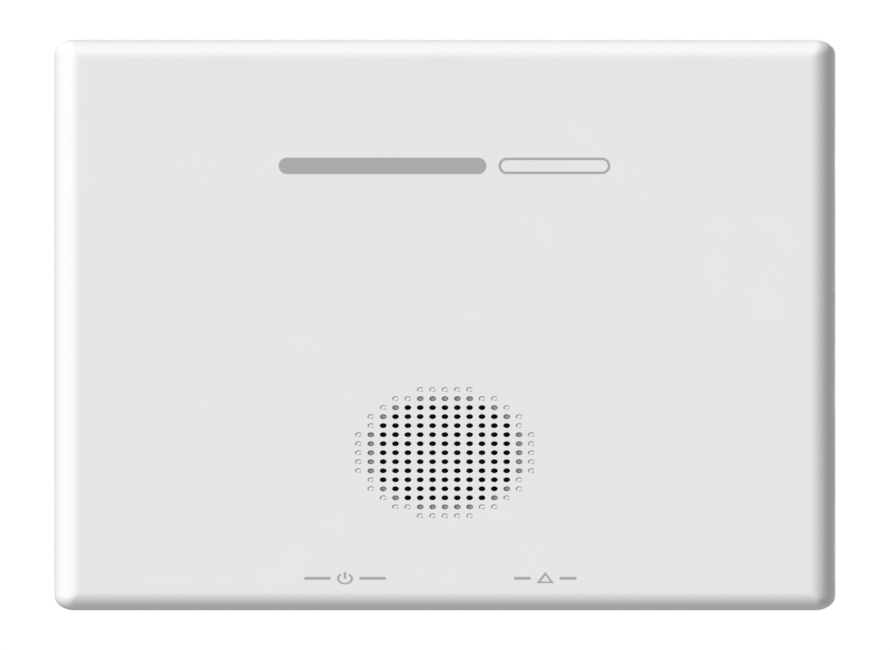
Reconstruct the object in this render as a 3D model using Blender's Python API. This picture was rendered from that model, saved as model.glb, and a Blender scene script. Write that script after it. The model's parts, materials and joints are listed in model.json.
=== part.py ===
"""Wall-mounted carbon monoxide detector, built as an assembly of separate parts.

Every part is modelled in one bench frame, in millimetres: X across the face, Y up the face and
Z out from the wall. The empty "wall_frame" stands that frame up, so in the world the unit faces
-Y, +Z is up, and the origin is on the wall, at the middle of the wall plate's back.
"""

import math

import bmesh
import bpy
from mathutils import Matrix

MM = 0.001
GAP = 0.3  # left between pieces that touch on the real object
DEEPER = 1.0  # how far a cutter runs past the surface it goes through

# Case: outside sizes, and the rounding of its front edge. The face and everything round on it
# are wider than tall by the same ratio.
WIDTH = 120.0
HEIGHT = 87.6
DEPTH = 36.0
OVAL = WIDTH / HEIGHT
WALL = 2.0
EDGE_UP = 2.9
EDGE_OUT = 3.4
EDGE_STEPS = 5
CORNER_UP = 2.3
CORNER_STEPS = 6
LEAST_CORNER = 0.15
PARTING = 9.3  # how far out from the wall the front cover starts
FACE_INSIDE = DEPTH - WALL

# Grille: a square lattice of oval holes, kept where they fall inside a circle. Reaches are
# distances from its middle in hole spacings: through holes, deep blind ones, shallow ones.
GRILLE_Y = -19.58
HOLE_UP = 0.77
HOLE_SPACING_UP = 1.382
HOLE_SIDES = 6
THROUGH_REACH = 5.9
DEEP_REACH = 6.5
SHALLOW_REACH = 7.3
DEEP_DIMPLE = 0.7
SHALLOW_DIMPLE = 0.3
GRILLE_WALL = 1.2
GRILLE_POCKET_RADIUS = 13.0

# Vent slots in the top and bottom walls of the front cover
VENT_XS = [side * x for side in (-1, 1) for x in range(20, 51, 5)]
VENT_HALF_X = 1.0
VENT_LOW = 15.0
VENT_HIGH = 27.0

# Rear cover: steps in behind the front cover, and stands just off the wall
REAR_STEP = 1.2
REAR_OFF_WALL = 0.6
REAR_RIM = PARTING - GAP
REAR_HALF_X = WIDTH / 2 - REAR_STEP
REAR_HALF_Y = HEIGHT / 2 - REAR_STEP
REAR_WALL = 1.8
REAR_CHAMFER = 0.8
REAR_FLOOR = 2.6

# Wall plate, and the T-shaped slot in the rear cover that slides down over it
PLATE_HALF_X = 39.0
PLATE_BOTTOM = -38.0
PLATE_TOP = 29.7
PLATE_MIDDLE = (PLATE_TOP + PLATE_BOTTOM) / 2
PLATE_HALF_Y = (PLATE_TOP - PLATE_BOTTOM) / 2
PLATE_OUT = 3.5
PLATE_PANEL = 1.8
PLATE_RIM = 3.5
PLATE_CORNER = 2.0
FLANGE_WIDTH = 3.1
FLANGE_LOW = 2.3
FLANGE_OUT = PLATE_OUT + 0.2
SLOT_LIP = FLANGE_LOW - GAP
SLOT_FLOOR = 4.4
SLOT_TOP = PLATE_TOP + GAP
SLOT_CLEARANCE = 0.35
SLOT_WALL = 2.0

# Slots for the wall screws: centre, and whether each is level or upright
WALL_SCREW_SLOTS = ((-30.1, 0.0, True), (30.1, 0.0, False), (0.0, 21.0, True), (0.0, -8.0, False))
WALL_SLOT_HALF_LENGTH = 4.5
WALL_SLOT_HALF_WIDTH = 2.0
WALL_SLOT_SINK = 1.6
WALL_SLOT_PAD = 3.0
TONGUE_HALF_X = 6.0
TONGUE_TOP = -18.0
TONGUE_BOTTOM = -33.0
TONGUE_GROOVE = 1.2
CLICK_CREST = SLOT_FLOOR - GAP
CLICK_Y = TONGUE_BOTTOM + 3.0
CLICK_HALF_X = 4.0
CLICK_HALF_Y = 1.6

# Circuit board
BOARD_LOW = 12.3
BOARD_TOP = BOARD_LOW + 1.6
SOLDERED = BOARD_TOP + GAP  # where a component's underside sits
BOARD_HALF_X = 55.0
BOARD_BOTTOM_Y = -41.0
BOARD_TOP_Y = 39.6
BOARD_STEP_X = 0.4
BOARD_STEP_Y = -0.9
BOARD_POSTS = ((-50.0, -7.0), (46.0, -30.0), (6.0, 34.4))
BOARD_PIN = (50.0, 4.0)
BOARD_PIN_RADIUS = 1.2
BOARD_PIN_TIP = 15.0
POST_RADIUS = 2.8
BOARD_SCREW_RADIUS = 1.05
BOARD_SCREW_HOLE = BOARD_SCREW_RADIUS + GAP
BOARD_SCREW_TIP = 5.0
BOARD_SCREW_HEAD = (2.1, 1.3)  # radius and height

# Case screws, driven from the back into bosses of the front cover
CASE_SCREW_X = 54.8
CASE_SCREW_Y = 38.6
CASE_SCREW_PLACES = [(x, y) for y in (CASE_SCREW_Y, -CASE_SCREW_Y) for x in (-CASE_SCREW_X, CASE_SCREW_X)]
CASE_SCREW_HEAD_LOW = 1.2
CASE_SCREW_HEAD = 1.8
CASE_SCREW_HEAD_RADIUS = 2.3
CASE_SCREW_RADIUS = 1.2
CASE_SCREW_HOLE = CASE_SCREW_RADIUS + GAP
CASE_SCREW_LENGTH = 18.0
CASE_BOSS_RADIUS = 3.4
BOSS_NOTCH = CASE_BOSS_RADIUS + 0.5  # room that the board leaves round a boss

# Battery drawer: two AA cells one above the other, lying across the case
CELL_RADIUS = 7.25
CELL_LENGTH = 50.5
CELL_NUB = 1.2
CELL_NUB_RADIUS = 2.75
DRAWER_Y = 17.3
CELL_SPACING = 2 * CELL_RADIUS + 0.4
CELL_UPPER_Y = DRAWER_Y + CELL_SPACING / 2
CELL_LOWER_Y = DRAWER_Y - CELL_SPACING / 2
DRAWER_FLOOR = 10.3
DRAWER_FLOOR_WALL = 1.2
CELL_OUT = DRAWER_FLOOR + DRAWER_FLOOR_WALL + GAP + CELL_RADIUS
DRAWER_WALL = 1.0
DRAWER_HALF_Y = CELL_SPACING / 2 + CELL_RADIUS + GAP + DRAWER_WALL
DRAWER_RIM = 22.0
DRAWER_DIVIDER_TOP = 14.6
DRAWER_END_TOP = 13.5
DRAWER_INNER_X = -2.8
DRAWER_FACE_X = -WIDTH / 2
DRAWER_FACE_WALL = 1.8
DRAWER_FACE_LOW = PARTING + 0.05
DRAWER_FACE_TOP = 27.6
DRAWER_CLEARANCE = 0.35

# Battery bay of the rear cover, and the contacts at its ends
BAY_RIB_WALL = 1.2
BAY_RIB_TOP = 21.0
BAY_RAIL_TOP = DRAWER_FLOOR - GAP
BAY_RAIL_WIDTH = 1.5
BAY_END_X = -1.8
SHEET = 0.3  # thickness of sheet metal contacts
CONTACT_X = BAY_END_X - GAP - SHEET / 2
BRIDGE_X = DRAWER_FACE_X + DRAWER_FACE_WALL + GAP + SHEET / 2
CONTACT_HALF_WIDTH = 3.5
CONTACT_FOOT = 14.0
SPRING_LENGTH = 4.1

# Test button in the right-hand side, and the switch behind it
BUTTON_Y = -19.0
BUTTON_OUT = 19.0
BUTTON_HALF_Y = 6.65
BUTTON_HALF_OUT = 2.65
BUTTON_CORNER = 1.0
BUTTON_CLEARANCE = 0.35
BUTTON_CAP = 2.3
BUTTON_FLANGE = 1.4
BUTTON_FLANGE_PROUD = 1.6
BUTTON_STEM = 2.0
PLUNGER_TIP_X = WIDTH / 2 - BUTTON_CAP - BUTTON_FLANGE - BUTTON_STEM - GAP
PLUNGER_LENGTH = 3.1
PLUNGER_RADIUS = 1.4
SWITCH_FRONT_X = 51.0
SWITCH_LENGTH = 6.0
SWITCH_HALF_Y = 3.6
SWITCH_TOP = BUTTON_OUT + 3.4

# Where the smaller components stand on the board
MICROCONTROLLER_PLACE = (22.0, -10.0)
DRIVER_CHIP_PLACE = (22.0, -28.0)
BOOST_COIL_PLACE = (-26.0, -24.0)
CAPACITOR_PLACE = (-38.0, -24.0)
CRYSTAL_PLACE = (34.5, -3.9)
SERVICE_HEADER_PLACE = (-38.0, -37.0)

# Sounder and dust mesh, behind the grille
MESH_RADIUS = GRILLE_POCKET_RADIUS - 0.4
MESH_THICKNESS = 0.3
SOUNDER_RADIUS = 14.4
SOUNDER_TOP = FACE_INSIDE - GAP
SOUNDER_BACK = 22.0
SOUNDER_FACE_WALL = 1.3
SOUNDER_PORT_RADIUS = 2.5
PIEZO_LEDGE = 28.0
PIEZO_RADIUS = 12.8
PIEZO_SHEET = 0.4
CERAMIC_RADIUS = 9.5
COLLAR_RADIUS = 14.9
COLLAR_WALL = 1.3
COLLAR_LOW = 28.0

# Carbon monoxide cell
SENSOR_X = 36.0
SENSOR_Y = 20.0
SENSOR_RADIUS = 9.6
SENSOR_LOW = SOLDERED + 0.4
SENSOR_TOP = 27.0
SENSOR_CAP_TOP = 30.6
SENSOR_PIN_RADIUS = 0.5
SENSOR_PIN_CIRCLE = 6.4
SENSOR_FILTER_RADIUS = 6.4

# Indicators, in a row behind the bottom edge of the face
INDICATOR_Y = -38.6
INDICATORS = (("power", -15.3, "led_green"), ("alarm", 0.0, "led_red"), ("fault", 15.3, "led_amber"))
LED_TOP = 19.5
PIPE_RADIUS = 1.9
PIPE_SOCKET_RADIUS = PIPE_RADIUS + 0.4
PIPE_SOCKET_WALL = 1.1
PIPE_SOCKET_LOW = 24.0
INDICATOR_WALL = 0.6

# Colour, roughness and metallic value of each material
LOOKS = {
    "case_white": ((0.80, 0.80, 0.80), 0.42, 0.0),
    "rear_white": ((0.76, 0.76, 0.75), 0.50, 0.0),
    "button_white": ((0.72, 0.72, 0.72), 0.38, 0.0),
    "mesh_black": ((0.015, 0.015, 0.015), 0.85, 0.0),
    "board_green": ((0.02, 0.16, 0.06), 0.40, 0.0),
    "chip_black": ((0.02, 0.02, 0.022), 0.50, 0.0),
    "sounder_black": ((0.03, 0.03, 0.03), 0.55, 0.0),
    "brass": ((0.78, 0.57, 0.25), 0.30, 1.0),
    "piezo_ceramic": ((0.83, 0.80, 0.74), 0.60, 0.0),
    "spring_steel": ((0.70, 0.70, 0.72), 0.25, 1.0),
    "screw_steel": ((0.55, 0.55, 0.57), 0.30, 1.0),
    "sensor_ivory": ((0.85, 0.82, 0.72), 0.50, 0.0),
    "charcoal": ((0.025, 0.025, 0.025), 0.95, 0.0),
    "led_green": ((0.25, 0.75, 0.30), 0.15, 0.0),
    "led_red": ((0.80, 0.08, 0.06), 0.15, 0.0),
    "led_amber": ((0.90, 0.55, 0.10), 0.15, 0.0),
    "clear_acrylic": ((0.90, 0.92, 0.93), 0.08, 0.0),
    "cell_jacket": ((0.09, 0.11, 0.16), 0.30, 0.0),
    "label_silver": ((0.72, 0.73, 0.74), 0.40, 0.0),
    "ferrite": ((0.10, 0.10, 0.10), 0.70, 0.0),
    "copper_winding": ((0.72, 0.36, 0.18), 0.30, 1.0),
    "capacitor_sleeve": ((0.03, 0.05, 0.12), 0.35, 0.0),
}
SMOOTH_BELOW = math.radians(35)


# ---- Outlines, as lists of (x, y) points, counter-clockwise seen from the front


def ellipse(half_x, half_y, sides, centre=(0.0, 0.0)):
    """Points of an ellipse, the first one half a side round from +X, so that flats face the axes."""
    angles = [2 * math.pi * (side + 0.5) / sides for side in range(sides)]
    return [(centre[0] + half_x * math.cos(a), centre[1] + half_y * math.sin(a)) for a in angles]


def rounded_rectangle(half_x, half_y, corner_x, corner_y, steps=CORNER_STEPS, centre=(0.0, 0.0)):
    """Points of a rectangle whose corners are quarter ellipses."""
    points = []
    for side_x, side_y, start in ((1, 1, 0), (-1, 1, 90), (-1, -1, 180), (1, -1, 270)):
        for step in range(steps + 1):
            angle = math.radians(start + 90 * step / steps)
            x = side_x * (half_x - corner_x) + corner_x * math.cos(angle)
            y = side_y * (half_y - corner_y) + corner_y * math.sin(angle)
            points.append((centre[0] + x, centre[1] + y))
    return points


def case_outline(inset_x, inset_y):
    """The case's outline, moved in from its outside by an inset along each axis."""
    return rounded_rectangle(
        WIDTH / 2 - inset_x,
        HEIGHT / 2 - inset_y,
        max(CORNER_UP * OVAL - inset_x, LEAST_CORNER),
        max(CORNER_UP - inset_y, LEAST_CORNER),
    )


def strip_outline(path, thickness):
    """Outline of a strip of even thickness whose middle follows a path of right-angle bends."""
    half = thickness / 2
    sides = ([], [])
    for before, point, after in zip([path[0], *path], path, [*path[1:], path[-1]]):
        come = (point[0] - before[0], point[1] - before[1])
        go = (after[0] - point[0], after[1] - point[1])
        legs = [leg for leg in (come, go) if leg != (0, 0)]
        normals = {(-math.copysign(y != 0, y), math.copysign(x != 0, x)) for x, y in legs}
        shift_x = half * sum(normal[0] for normal in normals)
        shift_y = half * sum(normal[1] for normal in normals)
        sides[0].append((point[0] + shift_x, point[1] + shift_y))
        sides[1].append((point[0] - shift_x, point[1] - shift_y))
    return sides[0] + sides[1][::-1]


# ---- Shapes: objects in the bench frame, not yet parts of the detector


def add_skin(builder, loops, capped=True):
    """Adds a skin through loops of equally many (x, y, z) points, capped or closed on itself."""
    rows = [[builder.verts.new([value * MM for value in point]) for point in loop] for loop in loops]
    next_rows = rows[1:] if capped else rows[1:] + rows[:1]
    for lower, upper in zip(rows, next_rows):
        for a, b in zip(range(len(lower)), [*range(1, len(lower)), 0]):
            builder.faces.new((lower[a], lower[b], upper[b], upper[a]))
    if capped:
        builder.faces.new(rows[0][::-1])
        builder.faces.new(rows[-1])


def shape_of(builder):
    """An object from a bmesh, its faces turned to point out."""
    bmesh.ops.recalc_face_normals(builder, faces=builder.faces)
    mesh = bpy.data.meshes.new("shape")
    builder.to_mesh(mesh)
    builder.free()
    shape = bpy.data.objects.new("shape", mesh)
    bpy.context.scene.collection.objects.link(shape)
    return shape


def lofted(rings, capped=True):
    """A body through rings, each an outline and its height."""
    builder = bmesh.new()
    add_skin(builder, [[(x, y, z) for x, y in outline] for outline, z in rings], capped)
    return shape_of(builder)


def prism(outline, low, high):
    return lofted([(outline, low), (outline, high)])


def prisms(outlines, low, high):
    """Several prisms of the same height that don't touch, as one cutter."""
    builder = bmesh.new()
    for outline in outlines:
        add_skin(builder, [[(x, y, z) for x, y in outline] for z in (low, high)])
    return shape_of(builder)


def turned(profile, sides=24, centre=(0.0, 0.0), ring=False):
    """A body turned about an axis along Z, from a profile of (radius, height) points. The profile
    of a ring goes all the way round its section."""
    rings = [(ellipse(radius, radius, sides, centre), z) for radius, z in profile]
    return lofted(rings, capped=not ring)


def cylinder(radius, low, high, centre=(0.0, 0.0), sides=16):
    return turned([(radius, low), (radius, high)], sides, centre)


def block(low, high, bevel=0.0):
    """A box between two corners, its edges chamfered by bevel."""
    builder = bmesh.new()
    size = [(b - a) * MM for a, b in zip(low, high)]
    middle = [(a + b) / 2 * MM for a, b in zip(low, high)]
    bmesh.ops.create_cube(builder, size=1.0, matrix=Matrix.Diagonal([*size, 1]))
    if bevel:
        bmesh.ops.bevel(builder, geom=builder.edges[:], offset=bevel * MM, segments=1, affect="EDGES")
    bmesh.ops.translate(builder, vec=middle, verts=builder.verts)
    return shape_of(builder)


def conical_spring(radius_low, radius_high, wire_radius, turns, low, high):
    """A round-wire spring along Z, the middle of its wire running from height low to high."""
    steps_per_turn, sides = 10, 5
    steps = int(turns * steps_per_turn)
    loops = []
    for step in range(steps + 1):
        share = step / steps
        angle = 2 * math.pi * turns * share
        radius = radius_low + (radius_high - radius_low) * share
        height = low + (high - low) * share
        loop = []
        for side in range(sides):
            around = 2 * math.pi * side / sides
            reach = radius + wire_radius * math.cos(around)
            rise = wire_radius * math.sin(around)
            loop.append((reach * math.cos(angle), reach * math.sin(angle), height + rise))
        loops.append(loop)
    builder = bmesh.new()
    add_skin(builder, loops)
    return shape_of(builder)


def aimed(shape, along, at=(0.0, 0.0, 0.0)):
    """Turns a shape so that its Z axis points along another axis, then moves it."""
    turns = {
        "X": Matrix.Rotation(math.pi / 2, 4, "Y"),
        "-X": Matrix.Rotation(-math.pi / 2, 4, "Y"),
        "Y": Matrix.Rotation(-math.pi / 2, 4, "X"),
    }
    shape.data.transform(Matrix.Translation([value * MM for value in at]) @ turns[along])
    return shape


def combined(operation, shape, tools):
    for tool in tools:
        modifier = shape.modifiers.new("combine", "BOOLEAN")
        modifier.operation = operation
        modifier.object = tool
        modifier.solver = "EXACT"
        graph = bpy.context.evaluated_depsgraph_get()
        shape.data = bpy.data.meshes.new_from_object(shape.evaluated_get(graph))
        shape.modifiers.clear()
        bpy.data.objects.remove(tool)
    return shape


def joined(shape, *others):
    return combined("UNION", shape, others)


def cut(shape, *tools):
    return combined("DIFFERENCE", shape, tools)


# ---- Parts, and the empties that carry them


def material(look):
    """The Principled material of one of the LOOKS, made the first time it is asked for."""
    found = bpy.data.materials.get(look)
    if found:
        return found
    colour, roughness, metallic = LOOKS[look]
    made = bpy.data.materials.new(look)
    made.use_nodes = True
    shader = made.node_tree.nodes["Principled BSDF"]
    shader.inputs["Base Color"].default_value = (*colour, 1.0)
    shader.inputs["Roughness"].default_value = roughness
    shader.inputs["Metallic"].default_value = metallic
    made.diffuse_color = (*colour, 1.0)
    return made


def carrier(name, parent=None, at=(0.0, 0.0, 0.0)):
    """An empty that carries the parts of one moving body."""
    made = bpy.data.objects.new(name, None)
    bpy.context.scene.collection.objects.link(made)
    made.location = [value * MM for value in at]
    made.parent = parent
    return made


def part(name, shape, look, body, at=(0.0, 0.0, 0.0)):
    """Names a finished shape and hangs it on its body. Its place is in the bench frame, so the
    place of the empty that carries it is taken off."""
    shape.name = name
    shape.data.name = name
    shape.data.materials.clear()
    shape.data.materials.append(material(look))
    shape.data.shade_smooth()
    shape.data.set_sharp_from_angle(angle=SMOOTH_BELOW)
    shape.parent = body
    shape.location = [value * MM - moved for value, moved in zip(at, body.location)]
    return shape


# ---- Wall plate


def wall_screw_slot(plate, x, y, level):
    """Adds a pad round a countersunk slot for a wall screw."""
    half_x, half_y = WALL_SLOT_HALF_WIDTH, WALL_SLOT_HALF_LENGTH
    if level:
        half_x, half_y = half_y, half_x

    def outline(grown):
        corner = WALL_SLOT_HALF_WIDTH + grown - 0.05
        return rounded_rectangle(half_x + grown, half_y + grown, corner, corner, centre=(x, y))

    pad_top = PLATE_OUT - 0.4
    neck = pad_top - WALL_SLOT_SINK
    plate = joined(plate, prism(outline(WALL_SLOT_PAD), PLATE_PANEL - 0.6, pad_top))
    sink = outline(WALL_SLOT_SINK)
    hole = outline(0.0)
    return cut(plate, lofted([(hole, -DEEPER), (hole, neck), (sink, pad_top), (sink, pad_top + DEEPER)]))


def click_tongue(plate):
    """Frees a springy tongue, and gives it the wedge that clicks as the detector comes down."""
    outer_x = TONGUE_HALF_X + TONGUE_GROOVE
    low, high = -DEEPER, PLATE_OUT + DEEPER
    for side in (-1, 1):
        xs = sorted((side * TONGUE_HALF_X, side * outer_x))
        plate = cut(plate, block((xs[0], TONGUE_BOTTOM, low), (xs[1], TONGUE_TOP, high)))
    foot = block((-outer_x, TONGUE_BOTTOM - TONGUE_GROOVE, low), (outer_x, TONGUE_BOTTOM + 0.01, high))
    plate = cut(plate, foot)
    root = PLATE_PANEL - 0.5
    section = [(-root, -CLICK_HALF_Y), (-root, CLICK_HALF_Y), (-CLICK_CREST, 0)]
    wedge = prism(section, -CLICK_HALF_X, CLICK_HALF_X)
    return joined(plate, aimed(wedge, "X", (0, CLICK_Y, 0)))


def make_wall_plate(body):
    """Flat plate with a flange down each side, fixed to the wall through its slots."""

    def outline(wider, lower, corner):
        return rounded_rectangle(
            PLATE_HALF_X + wider, PLATE_HALF_Y - lower, corner, corner, centre=(0, PLATE_MIDDLE)
        )

    corner = PLATE_CORNER
    plate = prism(outline(0, 0, corner), 0, PLATE_OUT)
    plate = joined(plate, prism(outline(FLANGE_WIDTH, 0, corner), FLANGE_LOW, FLANGE_OUT))
    pocket = outline(-PLATE_RIM, PLATE_RIM, corner - 0.5)
    plate = cut(plate, prism(pocket, PLATE_PANEL, PLATE_OUT + DEEPER))
    for x, y, level in WALL_SCREW_SLOTS:
        plate = wall_screw_slot(plate, x, y, level)
    part("wall_plate", click_tongue(plate), "rear_white", body)


# ---- Rear cover


def case_slot():
    """The T-shaped slot that takes the wall plate, open at the bottom edge."""
    half_x = PLATE_HALF_X + SLOT_CLEARANCE
    below = -HEIGHT
    mouth = block((-half_x, below, -DEEPER), (half_x, SLOT_TOP, SLOT_FLOOR))
    groove_x = PLATE_HALF_X + FLANGE_WIDTH + GAP
    groove = block((-groove_x, below, SLOT_LIP), (groove_x, SLOT_TOP, SLOT_FLOOR))
    return joined(mouth, groove)


def bay_ribs():
    """Side ribs, end wall and floor rails of the battery bay."""
    rib_y = DRAWER_HALF_Y + DRAWER_CLEARANCE + BAY_RIB_WALL / 2
    rail_y = DRAWER_HALF_Y - 2.5
    left = -REAR_HALF_X + REAR_WALL - 0.5
    ends = (left, BAY_END_X + BAY_RIB_WALL)
    low = REAR_FLOOR - 0.5
    ribs = []
    for reach, width, top in ((rib_y, BAY_RIB_WALL, BAY_RIB_TOP), (rail_y, BAY_RAIL_WIDTH, BAY_RAIL_TOP)):
        for y in (DRAWER_Y + reach, DRAWER_Y - reach):
            ribs.append(block((ends[0], y - width / 2, low), (ends[1], y + width / 2, top)))
    end_low = (BAY_END_X, DRAWER_Y - rib_y, low)
    end_high = (BAY_END_X + BAY_RIB_WALL, DRAWER_Y + rib_y, BAY_RIB_TOP)
    return [*ribs, block(end_low, end_high)]


def make_rear_cover(body):
    """Shallow tray that carries the wall slot, the board and the battery bay."""

    def outline(inset, corner_x, corner_y):
        return rounded_rectangle(REAR_HALF_X - inset, REAR_HALF_Y - inset, corner_x, corner_y)

    outer = outline(0, 2.2, 1.6)
    back = outline(REAR_CHAMFER, 1.4, 0.8)
    cover = lofted([(back, REAR_OFF_WALL), (outer, REAR_OFF_WALL + REAR_CHAMFER), (outer, REAR_RIM)])

    # The inside is deep all round, and shallow over the slot for the wall plate.
    inside = outline(REAR_WALL, 0.8, 0.8)
    slot_cover_x = PLATE_HALF_X + FLANGE_WIDTH + GAP + SLOT_WALL
    slot_cover_top = (slot_cover_x, SLOT_TOP + SLOT_WALL, SLOT_FLOOR + REAR_WALL)
    over_slot = block((-slot_cover_x, -HEIGHT, 0), slot_cover_top)
    cover = cut(cover, cut(prism(inside, REAR_FLOOR, REAR_RIM + DEEPER), over_slot))

    low = REAR_FLOOR - 0.5
    posts = [cylinder(CASE_BOSS_RADIUS, low, REAR_RIM, place) for place in CASE_SCREW_PLACES]
    posts += [cylinder(POST_RADIUS, low, BOARD_LOW - GAP, place) for place in BOARD_POSTS]
    radius, seat = BOARD_PIN_RADIUS, BOARD_LOW - GAP
    profile = [(radius + 1.0, low), (radius + 1.0, seat), (radius, seat), (radius - 0.3, BOARD_PIN_TIP)]
    cover = joined(cover, *posts, turned(profile, 12, BOARD_PIN), *bay_ribs())

    cover = cut(cover, case_slot())
    head_radius = CASE_SCREW_HEAD_RADIUS + GAP
    head_top = CASE_SCREW_HEAD_LOW + CASE_SCREW_HEAD + GAP
    for place in CASE_SCREW_PLACES:
        profile = [(head_radius, -DEEPER), (head_radius, head_top)]
        profile += [(CASE_SCREW_HOLE, head_top), (CASE_SCREW_HOLE, REAR_RIM + DEEPER)]
        cover = cut(cover, turned(profile, 28, place))
    for place in BOARD_POSTS:
        cover = cut(cover, cylinder(BOARD_SCREW_HOLE, BOARD_SCREW_TIP - 1.0, BOARD_LOW + DEEPER, place, 12))
    part("rear_cover", cover, "rear_white", body)


# ---- Front cover


def grille_holes(least, most):
    """Outlines of the grille's holes whose distance from its middle lies between two reaches."""
    spacing = (HOLE_SPACING_UP * OVAL, HOLE_SPACING_UP)
    half = (HOLE_UP * OVAL / 2, HOLE_UP / 2)
    count = math.floor(SHALLOW_REACH)
    outlines = []
    for column in range(-count, count + 1):
        for row in range(-count, count + 1):
            if least <= math.hypot(column, row) < most:
                centre = (column * spacing[0], GRILLE_Y + row * spacing[1])
                outlines.append(ellipse(*half, HOLE_SIDES, centre))
    return outlines


def front_shell():
    """The cover's shell: straight sides, a rounded front edge and a flat face."""
    rings = [(case_outline(0, 0), PARTING)]
    for step in range(EDGE_STEPS + 1):
        angle = math.radians(90 * step / EDGE_STEPS)
        inset = EDGE_UP * (1 - math.cos(angle))
        rings.append((case_outline(inset * OVAL, inset), DEPTH - EDGE_OUT + EDGE_OUT * math.sin(angle)))
    shell = lofted(rings)
    inside, bevelled = case_outline(WALL, WALL), case_outline(2 * WALL, 1.8 * WALL)
    cavity = lofted([(inside, PARTING - DEEPER), (inside, FACE_INSIDE - WALL), (bevelled, FACE_INSIDE)])
    return cut(shell, cavity)


def front_bosses():
    """Screw bosses, sounder collar, light pipe sockets and drawer guides, all rooted in the face."""
    root = FACE_INSIDE + 0.5
    grown = [cylinder(CASE_BOSS_RADIUS, PARTING, root, place) for place in CASE_SCREW_PLACES]
    outer = COLLAR_RADIUS + COLLAR_WALL
    section = [(COLLAR_RADIUS, COLLAR_LOW), (outer, COLLAR_LOW), (outer, root), (COLLAR_RADIUS, root)]
    grown.append(turned(section, 28, (0, GRILLE_Y), ring=True))
    socket_outside = PIPE_SOCKET_RADIUS + PIPE_SOCKET_WALL
    for _, x, _ in INDICATORS:
        grown.append(cylinder(socket_outside, PIPE_SOCKET_LOW, root, (x, INDICATOR_Y)))
    for side in (-1, 1):
        y = DRAWER_Y + side * (DRAWER_HALF_Y - 0.6)
        left, right = -WIDTH / 2 + WALL - 0.5, DRAWER_INNER_X
        grown.append(block((left, y - 0.6, DRAWER_RIM + DRAWER_CLEARANCE), (right, y + 0.6, root)))
    return grown


def button_outline(grown):
    """The test button's outline, moved out on every side, as its Z axis runs along +X."""
    half_out, half_y, corner = BUTTON_HALF_OUT + grown, BUTTON_HALF_Y + grown, BUTTON_CORNER + grown
    return rounded_rectangle(half_out, half_y, corner, corner, centre=(-BUTTON_OUT, BUTTON_Y))


def make_front_cover(body):
    cover = joined(front_shell(), *front_bosses())
    pocket_top = DEPTH - GRILLE_WALL
    over = DEPTH + DEEPER
    cover = cut(cover, cylinder(GRILLE_POCKET_RADIUS, FACE_INSIDE - DEEPER, pocket_top, (0, GRILLE_Y), 36))
    cover = cut(cover, prisms(grille_holes(0, THROUGH_REACH), pocket_top - 0.4, over))
    cover = cut(cover, prisms(grille_holes(THROUGH_REACH, DEEP_REACH), DEPTH - DEEP_DIMPLE, over))
    cover = cut(cover, prisms(grille_holes(DEEP_REACH, SHALLOW_REACH), DEPTH - SHALLOW_DIMPLE, over))
    for place in CASE_SCREW_PLACES:
        tip = CASE_SCREW_HEAD_LOW + CASE_SCREW_HEAD + CASE_SCREW_LENGTH
        cover = cut(cover, cylinder(CASE_SCREW_HOLE, PARTING - DEEPER, tip + DEEPER, place, 12))
    for _, x, _ in INDICATORS:
        top = DEPTH - INDICATOR_WALL
        cover = cut(cover, cylinder(PIPE_SOCKET_RADIUS, PIPE_SOCKET_LOW - DEEPER, top, (x, INDICATOR_Y)))
    for side in (-1, 1):
        y = side * (HEIGHT / 2 - WALL / 2)
        slots = [rounded_rectangle(VENT_HALF_X, WALL, 0.01, 0.01, 1, (x, y)) for x in VENT_XS]
        cover = cut(cover, prisms(slots, VENT_LOW, VENT_HIGH))

    # Notch for the drawer's face in the left wall, and window for the test button in the right
    notch_y = DRAWER_HALF_Y + DRAWER_CLEARANCE
    notch_low = (DRAWER_FACE_X - DEEPER, DRAWER_Y - notch_y, PARTING - DEEPER)
    notch_high = (DRAWER_FACE_X + WALL + 0.01, DRAWER_Y + notch_y, DRAWER_FACE_TOP + DRAWER_CLEARANCE)
    cover = cut(cover, block(notch_low, notch_high))
    window = prism(button_outline(BUTTON_CLEARANCE), WIDTH / 2 - WALL - DEEPER, WIDTH / 2 + DEEPER)
    cover = cut(cover, aimed(window, "X"))
    part("front_cover", cover, "case_white", body)


# ---- Board, and what is soldered to it


def make_board(body):
    """L-shaped board that goes round the battery bay, notched at the case's screw bosses."""
    right, bottom, top = BOARD_HALF_X, BOARD_BOTTOM_Y, BOARD_TOP_Y
    notch_x = CASE_SCREW_X - BOSS_NOTCH
    notch_y = CASE_SCREW_Y - BOSS_NOTCH
    outline = [
        (-notch_x, bottom),
        (notch_x, bottom),
        (notch_x, -notch_y),
        (right, -notch_y),
        (right, notch_y),
        (notch_x, notch_y),
        (notch_x, top),
        (BOARD_STEP_X, top),
        (BOARD_STEP_X, BOARD_STEP_Y),
        (-right, BOARD_STEP_Y),
        (-right, -notch_y),
        (-notch_x, -notch_y),
    ]
    board = prism(outline, BOARD_LOW, BOARD_TOP)
    holes = [(BOARD_SCREW_HOLE, place) for place in BOARD_POSTS]
    holes.append((BOARD_PIN_RADIUS + GAP, BOARD_PIN))
    holes += [(SENSOR_PIN_RADIUS + GAP, place) for place in sensor_pin_places()]
    for radius, place in holes:
        board = cut(board, cylinder(radius, BOARD_LOW - DEEPER, BOARD_TOP + DEEPER, place, 12))
    part("circuit_board", board, "board_green", body)


def make_chip(name, body, centre, size):
    """A square chip package lying on the board, with its pin-one corner mark."""
    half_x, half_y = size[0] / 2, size[1] / 2
    chip = block((-half_x, -half_y, 0), (half_x, half_y, size[2]), 0.25)
    mark = cylinder(0.5, size[2] - 0.15, size[2] + DEEPER, (-half_x + 1.4, half_y - 1.4), 8)
    part(name, cut(chip, mark), "chip_black", body, (*centre, SOLDERED))


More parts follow.
